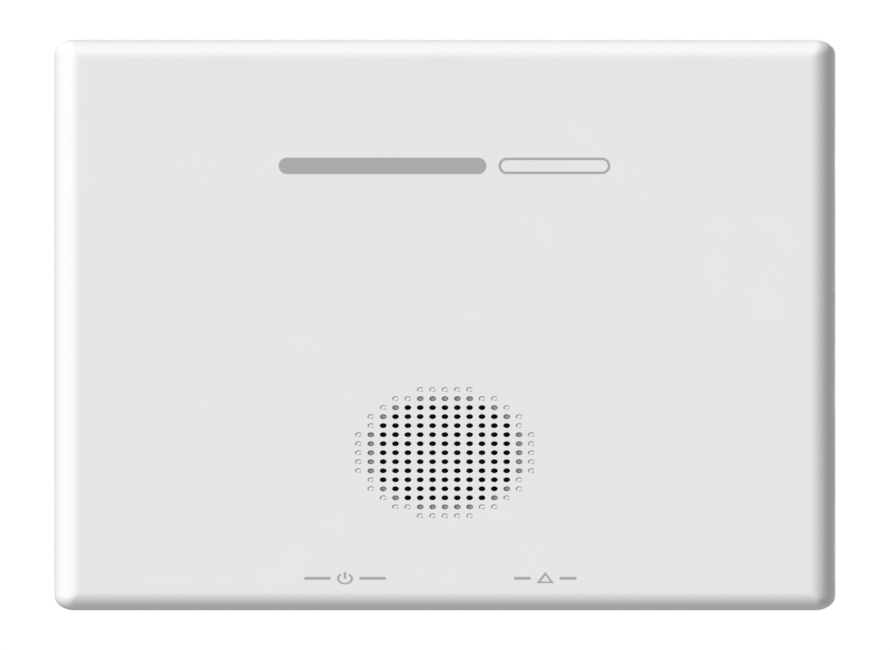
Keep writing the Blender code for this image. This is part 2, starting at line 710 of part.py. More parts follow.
def make_boost_coil(body):
    """Drum core with the winding that lifts the cells' voltage."""
    rim, waist, flange, height = 4.0, 2.0, 0.9, 5.0
    upper = height - flange
    profile = [(rim, 0), (rim, flange), (waist, flange), (waist, upper), (rim, upper), (rim, height)]
    place = (*BOOST_COIL_PLACE, SOLDERED)
    part("boost_coil_core", turned(profile, 16), "ferrite", body, place)
    inner, outer, low, high = waist + GAP, rim - 0.4, flange + GAP, upper - GAP
    section = [(inner, low), (outer, low), (outer, high), (inner, high)]
    part("boost_coil_winding", turned(section, 16, ring=True), "copper_winding", body, place)


def make_capacitor(body):
    """Sleeved can with a groove round its foot and a sunken top."""
    radius, height = 4.0, 9.6
    profile = [(radius - 0.3, 0), (radius, 0.3), (radius, 1.2), (radius - 0.2, 1.5), (radius, 1.8)]
    profile += [(radius, height - 0.4), (radius - 0.4, height), (2.9, height), (2.8, height - 0.2)]
    part("capacitor", turned(profile, 16), "capacitor_sleeve", body, (*CAPACITOR_PLACE, SOLDERED))


def make_crystal(body):
    can = prism(rounded_rectangle(5.2, 1.9, 1.85, 1.85), 0, 3.4)
    part("crystal", can, "spring_steel", body, (*CRYSTAL_PLACE, SOLDERED))


def make_service_header(body):
    """Moulded block with a row of four square sockets, used for testing at the factory."""
    header = block((-5.2, -1.4, 0), (5.2, 1.4, 6.0), 0.2)
    for index in range(4):
        x = (index - 1.5) * 2.5
        header = cut(header, block((x - 0.4, -0.4, 2.0), (x + 0.4, 0.4, 7.0)))
    part("service_header", header, "chip_black", body, (*SERVICE_HEADER_PLACE, SOLDERED))


def make_screw(name, body, place, head, shank, pointing):
    """A cross-head screw whose head rests on z = 0, its shank pointing to -Z or to +Z.
    Head and shank are each a radius and a length."""
    top, tip = head[1], -shank[1]
    profile = [(shank[0] * 0.5, tip), (shank[0], tip + 1.2), (shank[0], 0), (head[0], 0)]
    profile += [(head[0], top * 0.6), (head[0] * 0.8, top)]
    screw = turned(profile, 12)
    arm, half = head[0] * 0.6, 0.28
    for half_x, half_y in ((arm, half), (half, arm)):
        screw = cut(screw, block((-half_x, -half_y, top * 0.45), (half_x, half_y, top + DEEPER)))
    if pointing == "+Z":
        screw.data.transform(Matrix.Rotation(math.pi, 4, "X"))
    part(name, screw, "screw_steel", body, place)


def make_screws(body):
    seat = CASE_SCREW_HEAD_LOW + CASE_SCREW_HEAD
    head = (CASE_SCREW_HEAD_RADIUS, CASE_SCREW_HEAD)
    shank = (CASE_SCREW_RADIUS, CASE_SCREW_LENGTH)
    for index, place in enumerate(CASE_SCREW_PLACES, 1):
        make_screw(f"case_screw_{index}", body, (*place, seat), head, shank, "+Z")
    shank = (BOARD_SCREW_RADIUS, SOLDERED - BOARD_SCREW_TIP)
    for index, place in enumerate(BOARD_POSTS, 1):
        make_screw(f"board_screw_{index}", body, (*place, SOLDERED), BOARD_SCREW_HEAD, shank, "-Z")


# ---- Carbon monoxide cell


def sensor_pin_places():
    """Three pins, evenly round the cell's axis."""
    angles = [math.radians(90 + 120 * index) for index in range(3)]
    reach = SENSOR_PIN_CIRCLE
    return [(SENSOR_X + reach * math.cos(a), SENSOR_Y + reach * math.sin(a)) for a in angles]


def make_sensor(body):
    """Electrochemical cell: body, charcoal filter, vented cap and three pins."""
    centre = (SENSOR_X, SENSOR_Y, 0)
    foot, flange = SENSOR_RADIUS - 0.5, SENSOR_LOW + 3.0
    can = [(foot, SENSOR_LOW), (SENSOR_RADIUS, SENSOR_LOW + 0.5), (SENSOR_RADIUS, flange)]
    can += [(foot, flange + 0.4), (foot, SENSOR_TOP)]
    part("co_sensor_body", turned(can, 28), "sensor_ivory", body, centre)
    base = SENSOR_TOP + GAP
    filter_top = SENSOR_CAP_TOP - 1.2
    filter_disc = cylinder(SENSOR_FILTER_RADIUS, base, filter_top, sides=24)
    part("co_sensor_filter", filter_disc, "charcoal", body, centre)
    rim, bore, port = SENSOR_RADIUS - 0.8, SENSOR_FILTER_RADIUS + GAP, 1.8
    cap = [(rim, base), (rim, SENSOR_CAP_TOP - 0.6), (rim - 0.6, SENSOR_CAP_TOP), (port, SENSOR_CAP_TOP)]
    cap += [(port, filter_top + GAP), (bore, filter_top + GAP), (bore, base)]
    part("co_sensor_cap", turned(cap, 24, ring=True), "spring_steel", body, centre)
    for index, place in enumerate(sensor_pin_places(), 1):
        pin = cylinder(SENSOR_PIN_RADIUS, BOARD_LOW - 1.5, SENSOR_LOW - GAP, sides=8)
        part(f"co_sensor_pin_{index}", pin, "brass", body, (*place, 0))


# ---- Sounder


def make_sounder(body):
    """Piezo sounder, held in the front cover's collar behind a black mesh."""
    centre = (0, GRILLE_Y, 0)
    mesh_top = DEPTH - GRILLE_WALL - GAP
    mesh = cylinder(MESH_RADIUS, mesh_top - MESH_THICKNESS, mesh_top, sides=32)
    part("dust_mesh", mesh, "mesh_black", body, centre)

    chamber = SOUNDER_TOP - SOUNDER_FACE_WALL
    seat = PIEZO_RADIUS + GAP
    ledge = seat - 2.0
    port, outside = SOUNDER_PORT_RADIUS, SOUNDER_RADIUS
    housing = [(port, SOUNDER_TOP), (outside, SOUNDER_TOP), (outside, SOUNDER_BACK), (seat, SOUNDER_BACK)]
    housing += [(seat, PIEZO_LEDGE), (ledge, PIEZO_LEDGE), (ledge, chamber), (port, chamber)]
    part("sounder_housing", turned(housing, 32, ring=True), "sounder_black", body, centre)

    disc_top = PIEZO_LEDGE - GAP
    disc_low = disc_top - PIEZO_SHEET
    part("piezo_disc", cylinder(PIEZO_RADIUS, disc_low, disc_top, sides=32), "brass", body, centre)
    ceramic_top = disc_low - GAP
    ceramic_low = ceramic_top - SHEET
    ceramic = cylinder(CERAMIC_RADIUS, ceramic_low, ceramic_top, sides=24)
    part("piezo_ceramic", ceramic, "piezo_ceramic", body, centre)
    inner, low = CERAMIC_RADIUS + 0.7, SOUNDER_BACK + 1.5
    outer, high = PIEZO_RADIUS, ceramic_top
    section = [(inner, low), (outer, low), (outer, high), (inner, high)]
    part("sounder_retainer", turned(section, 32, ring=True), "sounder_black", body, centre)

    # Leaf contacts, from the board up to the ceramic: one at its middle, one nearer its rim
    low, high = SOLDERED + SHEET / 2, ceramic_low - GAP - SHEET / 2
    half_width = 1.2
    for name, x in (("centre", 0.0), ("rim", -7.0)):
        path = [(x - 4, low), (x, low), (x, high), (x + 2.5, high)]
        leaf = prism([(px, -pz) for px, pz in strip_outline(path, SHEET)], -half_width, half_width)
        part(f"sounder_contact_{name}", aimed(leaf, "Y"), "spring_steel", body, centre)


# ---- Indicators


def make_indicators(body):
    """Three lamps on the board, each with a light pipe up to the thin spot in the face."""
    for name, x, look in INDICATORS:
        dome = [(1.8, SOLDERED), (1.8, SOLDERED + 0.9), (1.5, SOLDERED + 0.9)]
        for step in range(4):
            angle = math.radians(25 * step)
            dome.append((1.5 * math.cos(angle), LED_TOP - 1.5 + 1.5 * math.sin(angle)))
        part(f"{name}_led", turned(dome, 12), look, body, (x, INDICATOR_Y, 0))
        low, high = LED_TOP + GAP, DEPTH - INDICATOR_WALL - GAP
        pipe = turned([(PIPE_RADIUS - 0.4, low), (PIPE_RADIUS, low + 0.6), (PIPE_RADIUS, high)], 16)
        part(f"{name}_light_pipe", pipe, "clear_acrylic", body, (x, INDICATOR_Y, 0))


# ---- Battery drawer, cells and contacts


def make_drawer(body):
    """Tray for two cells, behind a face plate that fills the notch in the case's left wall."""
    low_y, high_y = DRAWER_Y - DRAWER_HALF_Y, DRAWER_Y + DRAWER_HALF_Y
    face_in = DRAWER_FACE_X + DRAWER_FACE_WALL
    floor_top = DRAWER_FLOOR + DRAWER_FLOOR_WALL
    drawer = block((DRAWER_FACE_X, low_y, DRAWER_FACE_LOW), (face_in, high_y, DRAWER_FACE_TOP), 0.25)
    tray_left = face_in - 0.5
    solids = [block((tray_left, low_y, DRAWER_FLOOR), (DRAWER_INNER_X, high_y, floor_top))]
    for side in (-1, 1):
        y = DRAWER_Y + side * (DRAWER_HALF_Y - DRAWER_WALL / 2)
        half = DRAWER_WALL / 2
        solids.append(block((tray_left, y - half, DRAWER_FLOOR), (DRAWER_INNER_X, y + half, DRAWER_RIM)))
    root = DRAWER_FLOOR + 0.5
    divider_left, half = BRIDGE_X + 3.0, 0.6
    divider_high = (DRAWER_INNER_X, DRAWER_Y + half, DRAWER_DIVIDER_TOP)
    solids.append(block((divider_left, DRAWER_Y - half, root), divider_high))
    end_left = DRAWER_INNER_X - DRAWER_WALL
    end_high = (DRAWER_INNER_X, high_y - 0.2, DRAWER_END_TOP)
    solids.append(block((end_left, low_y + 0.2, root), end_high))
    drawer = joined(drawer, *solids)
    scoop = rounded_rectangle(1.6, 7.5, 1.5, 1.5, centre=(-DRAWER_FACE_TOP + 4.0, DRAWER_Y))
    drawer = cut(drawer, aimed(prism(scoop, DRAWER_FACE_X - DEEPER, DRAWER_FACE_X + 0.8), "X"))
    part("battery_drawer", drawer, "case_white", body)


def make_cell(name, body, positive_end, y, along):
    """An AA cell whose positive end is at an x, its body running the other way."""
    edge, nub_edge = 0.5, 0.3
    length, shoulder = CELL_LENGTH, CELL_LENGTH - CELL_NUB
    profile = [(CELL_RADIUS - edge, 0.0), (CELL_RADIUS, edge)]
    profile += [(CELL_RADIUS, shoulder - edge), (CELL_RADIUS - edge, shoulder), (CELL_NUB_RADIUS, shoulder)]
    profile += [(CELL_NUB_RADIUS, length - nub_edge), (CELL_NUB_RADIUS - nub_edge, length)]
    cell = turned(profile, 24)
    cell.data.transform(Matrix.Translation((0, 0, -length * MM)))
    part(name, aimed(cell, along), "cell_jacket", body, (positive_end, y, CELL_OUT))


def contact_spring(along, x, y):
    """Conical spring standing on a sheet contact whose middle is at an x."""
    radius, wire = 3.3, 0.28
    spring = conical_spring(radius, radius - 1.2, wire, 3.5, 0.05, SHEET / 2 + SPRING_LENGTH - wire)
    return aimed(spring, along, (x, y, CELL_OUT))


def make_contacts(case, drawer):
    """Sheet contacts: two hooked over the bay's end wall, and a bridge inside the drawer's face."""
    top = BAY_RIB_TOP + GAP + SHEET / 2
    tail_x = BOARD_STEP_X + 1.0
    path = [(CONTACT_X, CONTACT_FOOT), (CONTACT_X, top), (tail_x, top), (tail_x, SOLDERED)]
    outline = [(x, -z) for x, z in strip_outline(path, SHEET)]
    for name, y in (("positive", CELL_UPPER_Y), ("negative", CELL_LOWER_Y)):
        hook = aimed(prism(outline, -CONTACT_HALF_WIDTH, CONTACT_HALF_WIDTH), "Y", (0, y, 0))
        if name == "negative":
            hook = joined(hook, contact_spring("-X", CONTACT_X, y))
        part(f"{name}_contact", hook, "spring_steel", case)
    half_y, half_out = CELL_SPACING / 2 + CONTACT_HALF_WIDTH, 4.2
    low = (BRIDGE_X - SHEET / 2, DRAWER_Y - half_y, CELL_OUT - half_out)
    high = (BRIDGE_X + SHEET / 2, DRAWER_Y + half_y, CELL_OUT + half_out)
    bridge = joined(block(low, high), contact_spring("X", BRIDGE_X, CELL_UPPER_Y))
    part("bridge_contact", bridge, "spring_steel", drawer)


def make_cells(body):
    upper_tip = CONTACT_X - SHEET / 2 - GAP
    lower_tip = BRIDGE_X + SHEET / 2 + GAP
    make_cell("aa_cell_upper", body, upper_tip, CELL_UPPER_Y, "X")
    make_cell("aa_cell_lower", body, lower_tip, CELL_LOWER_Y, "-X")


# ---- Test button and switch


def make_button(case, button):
    """Button in the right-hand wall, its plunger, and the switch on the board."""
    face = WIDTH / 2
    cap_back = face - BUTTON_CAP
    flange_back = cap_back - BUTTON_FLANGE
    chamfer = 0.4
    side = button_outline(0)
    cap = lofted([(side, cap_back - 0.5), (side, face - chamfer), (button_outline(-chamfer), face)])
    flange = prism(button_outline(BUTTON_FLANGE_PROUD), flange_back, cap_back)
    stem_half = 1.6
    stem_low = (PLUNGER_TIP_X + GAP, BUTTON_Y - stem_half, BUTTON_OUT - stem_half)
    stem_high = (flange_back + 0.5, BUTTON_Y + stem_half, BUTTON_OUT + stem_half)
    cap = joined(aimed(cap, "X"), aimed(flange, "X"), block(stem_low, stem_high))
    part("test_button", cap, "button_white", button)
    plunger = cylinder(PLUNGER_RADIUS, PLUNGER_TIP_X - PLUNGER_LENGTH, PLUNGER_TIP_X, sides=12)
    part("switch_plunger", aimed(plunger, "X", (0, BUTTON_Y, BUTTON_OUT)), "led_red", button)

    low = (SWITCH_FRONT_X - SWITCH_LENGTH, BUTTON_Y - SWITCH_HALF_Y, SOLDERED)
    switch = block(low, (SWITCH_FRONT_X, BUTTON_Y + SWITCH_HALF_Y, SWITCH_TOP), 0.3)
    bore = cylinder(PLUNGER_RADIUS + GAP, SWITCH_FRONT_X - 1.4, SWITCH_FRONT_X + DEEPER, sides=12)
    switch = cut(switch, aimed(bore, "X", (0, BUTTON_Y, BUTTON_OUT)))
    part("switch_body", switch, "chip_black", case)


# ---- Rating label, blank, inside the slot for the wall plate


def make_label(body):
    top = SLOT_FLOOR - GAP
    thickness = 0.15
    label = prism(rounded_rectangle(24.0, 11.0, 1.0, 1.0, centre=(0, 15.0)), top - thickness, top)
    part("rating_label", label, "label_silver", body)


def main():
    for old in list(bpy.data.objects):
        bpy.data.objects.remove(old)
    wall = carrier("wall_frame")
    wall.rotation_euler = (math.radians(90), 0, 0)
    case = carrier("case_frame", wall)
    drawer = carrier("drawer_frame", case, (DRAWER_FACE_X, DRAWER_Y, CELL_OUT))
    button = carrier("button_frame", case, (WIDTH / 2, BUTTON_Y, BUTTON_OUT))
    make_wall_plate(wall)
    make_rear_cover(case)
    make_front_cover(case)
    make_board(case)
    make_chip("microcontroller", case, MICROCONTROLLER_PLACE, (10.0, 10.0, 1.6))
    make_chip("driver_chip", case, DRIVER_CHIP_PLACE, (6.0, 8.0, 1.5))
    make_boost_coil(case)
    make_capacitor(case)
    make_crystal(case)
    make_service_header(case)
    make_screws(case)
    make_sensor(case)
    make_sounder(case)
    make_indicators(case)
    make_label(case)
    make_drawer(drawer)
    make_cells(drawer)
    make_contacts(case, drawer)
    make_button(case, button)


main()
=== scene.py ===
import json
import math

import bmesh
import bpy
from mathutils import Matrix, Vector


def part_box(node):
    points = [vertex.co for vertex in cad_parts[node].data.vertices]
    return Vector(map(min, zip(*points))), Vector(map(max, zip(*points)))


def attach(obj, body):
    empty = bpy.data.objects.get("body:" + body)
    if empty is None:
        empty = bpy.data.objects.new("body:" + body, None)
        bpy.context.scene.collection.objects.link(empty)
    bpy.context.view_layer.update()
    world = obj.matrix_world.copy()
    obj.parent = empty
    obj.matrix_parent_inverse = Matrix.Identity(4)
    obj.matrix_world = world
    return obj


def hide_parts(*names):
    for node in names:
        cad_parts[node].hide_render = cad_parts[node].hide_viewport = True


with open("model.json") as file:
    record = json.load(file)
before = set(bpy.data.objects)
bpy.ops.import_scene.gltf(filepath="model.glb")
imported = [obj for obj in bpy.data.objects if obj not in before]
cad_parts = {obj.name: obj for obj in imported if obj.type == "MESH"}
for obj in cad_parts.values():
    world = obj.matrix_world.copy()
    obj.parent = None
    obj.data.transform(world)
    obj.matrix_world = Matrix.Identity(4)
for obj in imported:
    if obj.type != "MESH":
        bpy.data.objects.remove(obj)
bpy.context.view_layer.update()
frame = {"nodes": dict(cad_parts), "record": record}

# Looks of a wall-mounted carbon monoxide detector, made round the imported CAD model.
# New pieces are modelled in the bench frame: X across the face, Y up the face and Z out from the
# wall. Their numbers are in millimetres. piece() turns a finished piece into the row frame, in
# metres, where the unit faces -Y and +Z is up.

MM = 0.001
BENCH_TO_ROW = Matrix.Rotation(math.pi / 2, 4, "X")


def bench_box(node):
    """A CAD node's lowest and highest corners in the bench frame, in millimetres."""
    low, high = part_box(node)
    return (
        Vector((low.x, low.z, -high.y)) / MM,
        Vector((high.x, high.z, -low.y)) / MM,
    )


def bench_centre(node):
    low, high = bench_box(node)
    return (low + high) / 2


# ---- Sizes, in millimetres unless a comment says otherwise. What the CAD holds is read from it.

COVER_LOW, COVER_HIGH = bench_box("front_cover")
WIDTH = COVER_HIGH.x - COVER_LOW.x
HEIGHT = COVER_HIGH.y - COVER_LOW.y
DEPTH = COVER_HIGH.z
PARTING = COVER_LOW.z
OVAL = WIDTH / HEIGHT
PRINT = 0.03  # thickness of the printed marks; the face lies that much inside the CAD's
FACE = DEPTH - PRINT
WALL = 2.0
FACE_INSIDE = DEPTH - WALL
EDGE_UP = 2.9  # the rounding of the front edge, measured up the face
EDGE_OUT = 3.4  # the same, measured out from the wall
EDGE_STEPS = 18
EDGE_SUPPORT = 0.35  # from the rounding's end to a loop that keeps the face flat
CORNER_UP = 2.3
CORNER_STEPS = 12
LEAST_CORNER = 0.6
RIM_ROUND = 0.3
DEEPER = 1.0  # how far a cutter reaches past what it cuts
ROOTED = 0.5  # how far a rib or boss reaches into the wall that it stands on
SAME_POINT = 0.001  # corners nearer than this are joined

GRILLE = bench_centre("dust_mesh")
GRILLE_POCKET_RADIUS = 13.0
GRILLE_WALL = 1.2
HOLE_UP = 0.77
HOLE_SPACING_UP = 1.382
HOLE_SIDES = 20
HOLE_FLARE = 0.03
HOLE_OVERLAP = 0.4  # how far a through hole's cutter reaches into the pocket behind the grille
THROUGH_REACH = 5.9  # in steps of the hole spacing, as are the next two
DEEP_REACH = 6.5
SHALLOW_REACH = 7.3
RIM_GROOVE = 0.15  # width of the groove round a dimple's floor
DEEP_DIMPLE = 0.75  # depths of the floors and of the grooves round them
DEEP_GROOVE = 1.0
SHALLOW_DIMPLE = 0.05
SHALLOW_GROOVE = 0.24

CASE_SCREWS = [f"case_screw_{index}" for index in range(1, 5)]
SCREW_HEAD = 1.8
SCREW_RADIUS = 1.2
SCREW_PITCH = 0.9
SCREW_PLAIN = 2.0  # unthreaded length under the head
SCREW_POINT = 1.5  # unthreaded length at the tip
THREAD_DEPTH = 0.28
CELL_RADIUS = 7.25
CELL_NUB = 1.2
BAND_PROUD = 0.015
BAND_ROOT = 0.05
BAND_START = 0.8  # shares of a cell's length without its nub, from the flat end
BAND_END = 0.93
PLUS_AT = 0.72  # shares of its whole length, from the flat end
MINUS_AT = 0.12
SIGN_ARM = 1.5
SIGN_HALF_LINE = 0.3
SHEET = 0.3
SPRING_RADIUS = 3.3
SPRING_TAPER = 1.2
SPRING_WIRE = 0.28  # radius
SPRING_TURNS = 3.5  # a number of turns

BOSS_RADIUS = 3.4
BOSS_HOLE = 1.5
BOSS_DEPTH = 22.0
COLLAR_RADIUS = 14.9
COLLAR_WALL = 1.3
COLLAR_LOW = 28.0
SOCKET_RADIUS = 2.3
SOCKET_WALL = 1.1
SOCKET_LOW = 24.0
INDICATORS = ("power", "alarm", "fault")
INDICATOR_WALL = 0.6
RIB_HALF = 0.6
RIB_LOW = 22.35  # just in front of the battery drawer
NOTCH_SPARE = 0.35
WINDOW_HALF_Z = 3.0
WINDOW_HALF_Y = 7.0
WINDOW_CORNER = 1.35

VENT_XS = [side * x for side in (-1, 1) for x in range(20, 51, 5)]
VENT_HALF_X = 1.0
VENT_LOW = 15.0
VENT_HIGH = 27.0
VENT_FLARE = 0.15

HEADER_LEFT, HEADER_MIDDLE, HEADER_RIGHT = -25.5, 6.3, 25.3
HEADER_Y = 24.4
HEADER_HEIGHT = 2.5
HEADER_GAP = 1.9
HEADER_LINE = 0.36
SYMBOL_X = 15.35  # the power symbol is this far left of the middle, the fault symbol right
SYMBOL_Y = -38.8
SYMBOL_CLEAR = 2.2
DASH_HEIGHT = 0.42
POWER_DASH_END = 6.25
POWER_RING = 0.89
POWER_LINE = 0.24
FAULT_DASH_END = 4.8
FAULT_OUTER = 1.12
FAULT_INNER = 0.64

LEAD_PITCH = 0.8
LEAD_WIDTH = 0.34
LEAD_THICKNESS = 0.16
LEAD_ROOT = 0.1  # how far a lead reaches into its chip
LEAD_KNEE = 0.5  # how far out from the chip a lead turns down
LEAD_SLOPE = 0.2
LEAD_REACH = 1.3

LABEL_RULES = (0.95, 0.7, 0.82, 0.6, 0.9, 0.45)  # lengths, as shares of the widest
LABEL_FRAME = 0.8
LABEL_FRAME_LINE = 0.2
LABEL_SIDE = 3.0
LABEL_TOP = 3.6
LABEL_BOTTOM = 2.4
HEADING_RULE = 1.2
PLAIN_RULE = 0.7

SMOOTH_BELOW = 24  # degrees, as are the next four
FLAT_WITHIN = 0.4
MOULDING_EDGE = 40
MOULDING_SHARP = 60
CAD_EDGE = 35
BROKEN_EDGE = 0.07
THREAD_PITCH = 0.25
WINDING_PITCH = 0.35
TRACK_PITCH = 3.4
WAVE_RATE = 20  # radians that a wave texture turns through in one unit

CAMERA_DISTANCE = 2000.0
FRAME_WIDTH = 136.63  # what the camera sees across, where the rounding of the front edge starts
SENSOR_WIDTH = 36.0
FLOOR_HALF = 500.0
FLOOR_BELOW = 700.0
FLOOR_THICKNESS = 10.0
BACKDROP = 1.02  # strengths of the white that the camera sees and of the light on the object
AMBIENT = 0.27

# ---- Outlines, as lists of (x, y) points, counter-clockwise seen from the front


def ellipse(half_x, half_y, sides, centre=(0.0, 0.0)):
    x, y = centre
    angles = [2 * math.pi * (side + 0.5) / sides for side in range(sides)]
    return [(x + half_x * math.cos(a), y + half_y * math.sin(a)) for a in angles]


def rounded_rectangle(half_x, half_y, corner_x, corner_y, steps=CORNER_STEPS, centre=(0.0, 0.0)):
    """A rectangle with oval corners."""
    points = []
    for side_x, side_y, start in ((1, 1, 0), (-1, 1, 90), (-1, -1, 180), (1, -1, 270)):
        for step in range(steps + 1):
            angle = math.radians(start + 90 * step / steps)
            x = side_x * (half_x - corner_x) + corner_x * math.cos(angle)
            y = side_y * (half_y - corner_y) + corner_y * math.sin(angle)
            points.append((centre[0] + x, centre[1] + y))
    return points


def case_outline(inset_x, inset_y):
    return rounded_rectangle(
        WIDTH / 2 - inset_x,
        HEIGHT / 2 - inset_y,
        max(CORNER_UP * OVAL - inset_x, LEAST_CORNER),
        max(CORNER_UP - inset_y, LEAST_CORNER),
    )


def at_height(outline, z):
    return [(x, y, z) for x, y in outline]


# ---- Shapes


def add_skin(builder, loops, capped=True):
    """Adds a skin through loops of equally many (x, y, z) points, capped or closed on itself."""
    rows = []
    for loop in loops:
        rows.append([builder.verts.new([value * MM for value in point]) for point in loop])
    next_rows = rows[1:] if capped else rows[1:] + rows[:1]
    for lower, upper in zip(rows, next_rows):
        for a, b in zip(range(len(lower)), [*range(1, len(lower)), 0]):
            builder.faces.new((lower[a], lower[b], upper[b], upper[a]))
    if capped:
        builder.faces.new(rows[0][::-1])
        builder.faces.new(rows[-1])


def shape_of(builder):
    bmesh.ops.recalc_face_normals(builder, faces=builder.faces)
    mesh = bpy.data.meshes.new("shape")
    builder.to_mesh(mesh)
    builder.free()
    shape = bpy.data.objects.new("shape", mesh)
    bpy.context.scene.collection.objects.link(shape)
    return shape


def lofted(rings, capped=True):
    builder = bmesh.new()
    add_skin(builder, [at_height(outline, z) for outline, z in rings], capped)
    return shape_of(builder)


def prism(outline, low, high):
    return lofted([(outline, low), (outline, high)])


def turned(profile, sides=64, centre=(0.0, 0.0), ring=False):
    """A profile of (radius, z) points turned round, as a solid or as a ring with a hole."""
    rings = [(ellipse(radius, radius, sides, centre), z) for radius, z in profile]
    return lofted(rings, capped=not ring)


def cylinder(radius, low, high, centre=(0.0, 0.0), sides=48):
    return turned([(radius, low), (radius, high)], sides, centre)


def block(low, high):
    builder = bmesh.new()
    size = [(b - a) * MM for a, b in zip(low, high)]
    middle = [(a + b) / 2 * MM for a, b in zip(low, high)]
    bmesh.ops.create_cube(builder, size=1.0, matrix=Matrix.Diagonal([*size, 1]))
    bmesh.ops.translate(builder, vec=middle, verts=builder.verts)
    return shape_of(builder)


def aimed(shape, along, at=(0.0, 0.0, 0.0)):
    """Turns a shape so that its Z axis points along X or -X, then moves it."""
    quarter = math.pi / 2 if along == "X" else -math.pi / 2
    turn = Matrix.Rotation(quarter, 4, "Y")
    shape.data.transform(Matrix.Translation([value * MM for value in at]) @ turn)
    return shape


def combined(operation, shape, tools):
    for tool in tools:
        modifier = shape.modifiers.new("combine", "BOOLEAN")
        modifier.operation = operation
        modifier.object = tool
        modifier.solver = "EXACT"
        graph = bpy.context.evaluated_depsgraph_get()
        shape.data = bpy.data.meshes.new_from_object(shape.evaluated_get(graph))
        shape.modifiers.clear()
        bpy.data.objects.remove(tool)
    return shape


def joined(shape, *others):
    return combined("UNION", shape, others)


def cut(shape, *tools):
    return combined("DIFFERENCE", shape, tools)


def piece(name, shape, material, body, replaces=()):
    """Finishes a new piece: names it, turns it into the row frame and hangs it on its body."""
    shape.name = name
    shape.data.name = name
    shape.data.transform(BENCH_TO_ROW)
    shape.data.materials.clear()
    shape.data.materials.append(material)
    shape.data.shade_smooth()
    shape.data.set_sharp_from_angle(angle=math.radians(SMOOTH_BELOW))
    weighted = shape.modifiers.new("flat_faces", "WEIGHTED_NORMAL")
    weighted.keep_sharp = True
    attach(shape, body)
    if replaces:
        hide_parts(*replaces)
    return shape


# ---- Materials

LOOK = "_look"  # ends the name of each material made here


def new_material(name, colour, roughness, metallic=0.0):
    """A Principled material, with its tree and shader."""
    material = bpy.data.materials.new(name + LOOK)
    material.use_nodes = True
    shader = material.node_tree.nodes["Principled BSDF"]
    shader.inputs["Base Color"].default_value = (*colour, 1.0)
    shader.inputs["Roughness"].default_value = roughness
    shader.inputs["Metallic"].default_value = metallic
    return material, material.node_tree, shader


def noise(tree, feature, detail=3.0, stretch=(1.0, 1.0, 1.0)):
    """Noise in the piece's own space, with features of a size in millimetres."""
    place = tree.nodes.new("ShaderNodeTexCoord")
    mapping = tree.nodes.new("ShaderNodeMapping")
    mapping.inputs["Scale"].default_value = stretch
    texture = tree.nodes.new("ShaderNodeTexNoise")
    texture.inputs["Scale"].default_value = 1.0 / (feature * MM)
    texture.inputs["Detail"].default_value = detail
    tree.links.new(place.outputs["Object"], mapping.inputs["Vector"])
    tree.links.new(mapping.outputs["Vector"], texture.inputs["Vector"])
    return texture.outputs["Fac"]


def ramp(tree, factor, stops):
    """A colour ramp of (position, colour or grey value) stops."""
    node = tree.nodes.new("ShaderNodeValToRGB")
    elements = node.color_ramp.elements
    while len(elements) < len(stops):
        elements.new(0.5)
    for element, (position, value) in zip(elements, stops):
        element.position = position
        element.color = (*value, 1.0) if isinstance(value, tuple) else (value, value, value, 1.0)
    tree.links.new(factor, node.inputs["Fac"])
    return node.outputs["Color"]


def blend(tree, factor, low, high):
    """A ramp between two values, over the middle of a noise's range."""
    return ramp(tree, factor, [(0.3, low), (0.7, high)])


def tinted(colour, share):
    """A colour made darker or lighter by a share, and never brighter than white."""
    return tuple(min(value * share, 1.0) for value in colour)


def wave(tree, direction, pitch):
    """Bands across the piece's own space, at a pitch in millimetres."""
    place = tree.nodes.new("ShaderNodeTexCoord")
    texture = tree.nodes.new("ShaderNodeTexWave")
    texture.bands_direction = direction
    texture.inputs["Scale"].default_value = 2 * math.pi / (WAVE_RATE * pitch * MM)
    tree.links.new(place.outputs["Object"], texture.inputs["Vector"])
    return texture.outputs["Fac"]


def add_bump(tree, shader, height, distance, strength):
    """Relief as deep as a distance in millimetres."""
    node = tree.nodes.new("ShaderNodeBump")
    node.inputs["Strength"].default_value = strength
    node.inputs["Distance"].default_value = distance * MM
    tree.links.new(height, node.inputs["Height"])
    tree.links.new(node.outputs["Normal"], shader.inputs["Normal"])


def moulded_plastic(name, colour, roughness, texture_size=0.22, texture_depth=0.006):
    """Moulded plastic: spark-eroded micro texture, faint sink and flow variation."""
    material, tree, shader = new_material(name, colour, roughness)
    flow = noise(tree, 35.0, 2.0)
    tone = blend(tree, flow, tinted(colour, 0.993), tinted(colour, 1.004))
    tree.links.new(tone, shader.inputs["Base Color"])
    patch = noise(tree, 9.0, 4.0)
    sheen = blend(tree, patch, roughness - 0.04, roughness + 0.05)
    tree.links.new(sheen, shader.inputs["Roughness"])
    grain = noise(tree, texture_size, 2.0)
    add_bump(tree, shader, grain, texture_depth, 0.6)
    return material


def printed_ink():
    """Grey pad-printed ink: slightly mottled, more matte than the plastic."""
    material, tree, shader = new_material("printed_ink", (0.38, 0.38, 0.38), 0.6)
    mottle = noise(tree, 0.12, 3.0)
    tree.links.new(blend(tree, mottle, 0.36, 0.40), shader.inputs["Base Color"])
    add_bump(tree, shader, mottle, 0.003, 0.5)
    return material


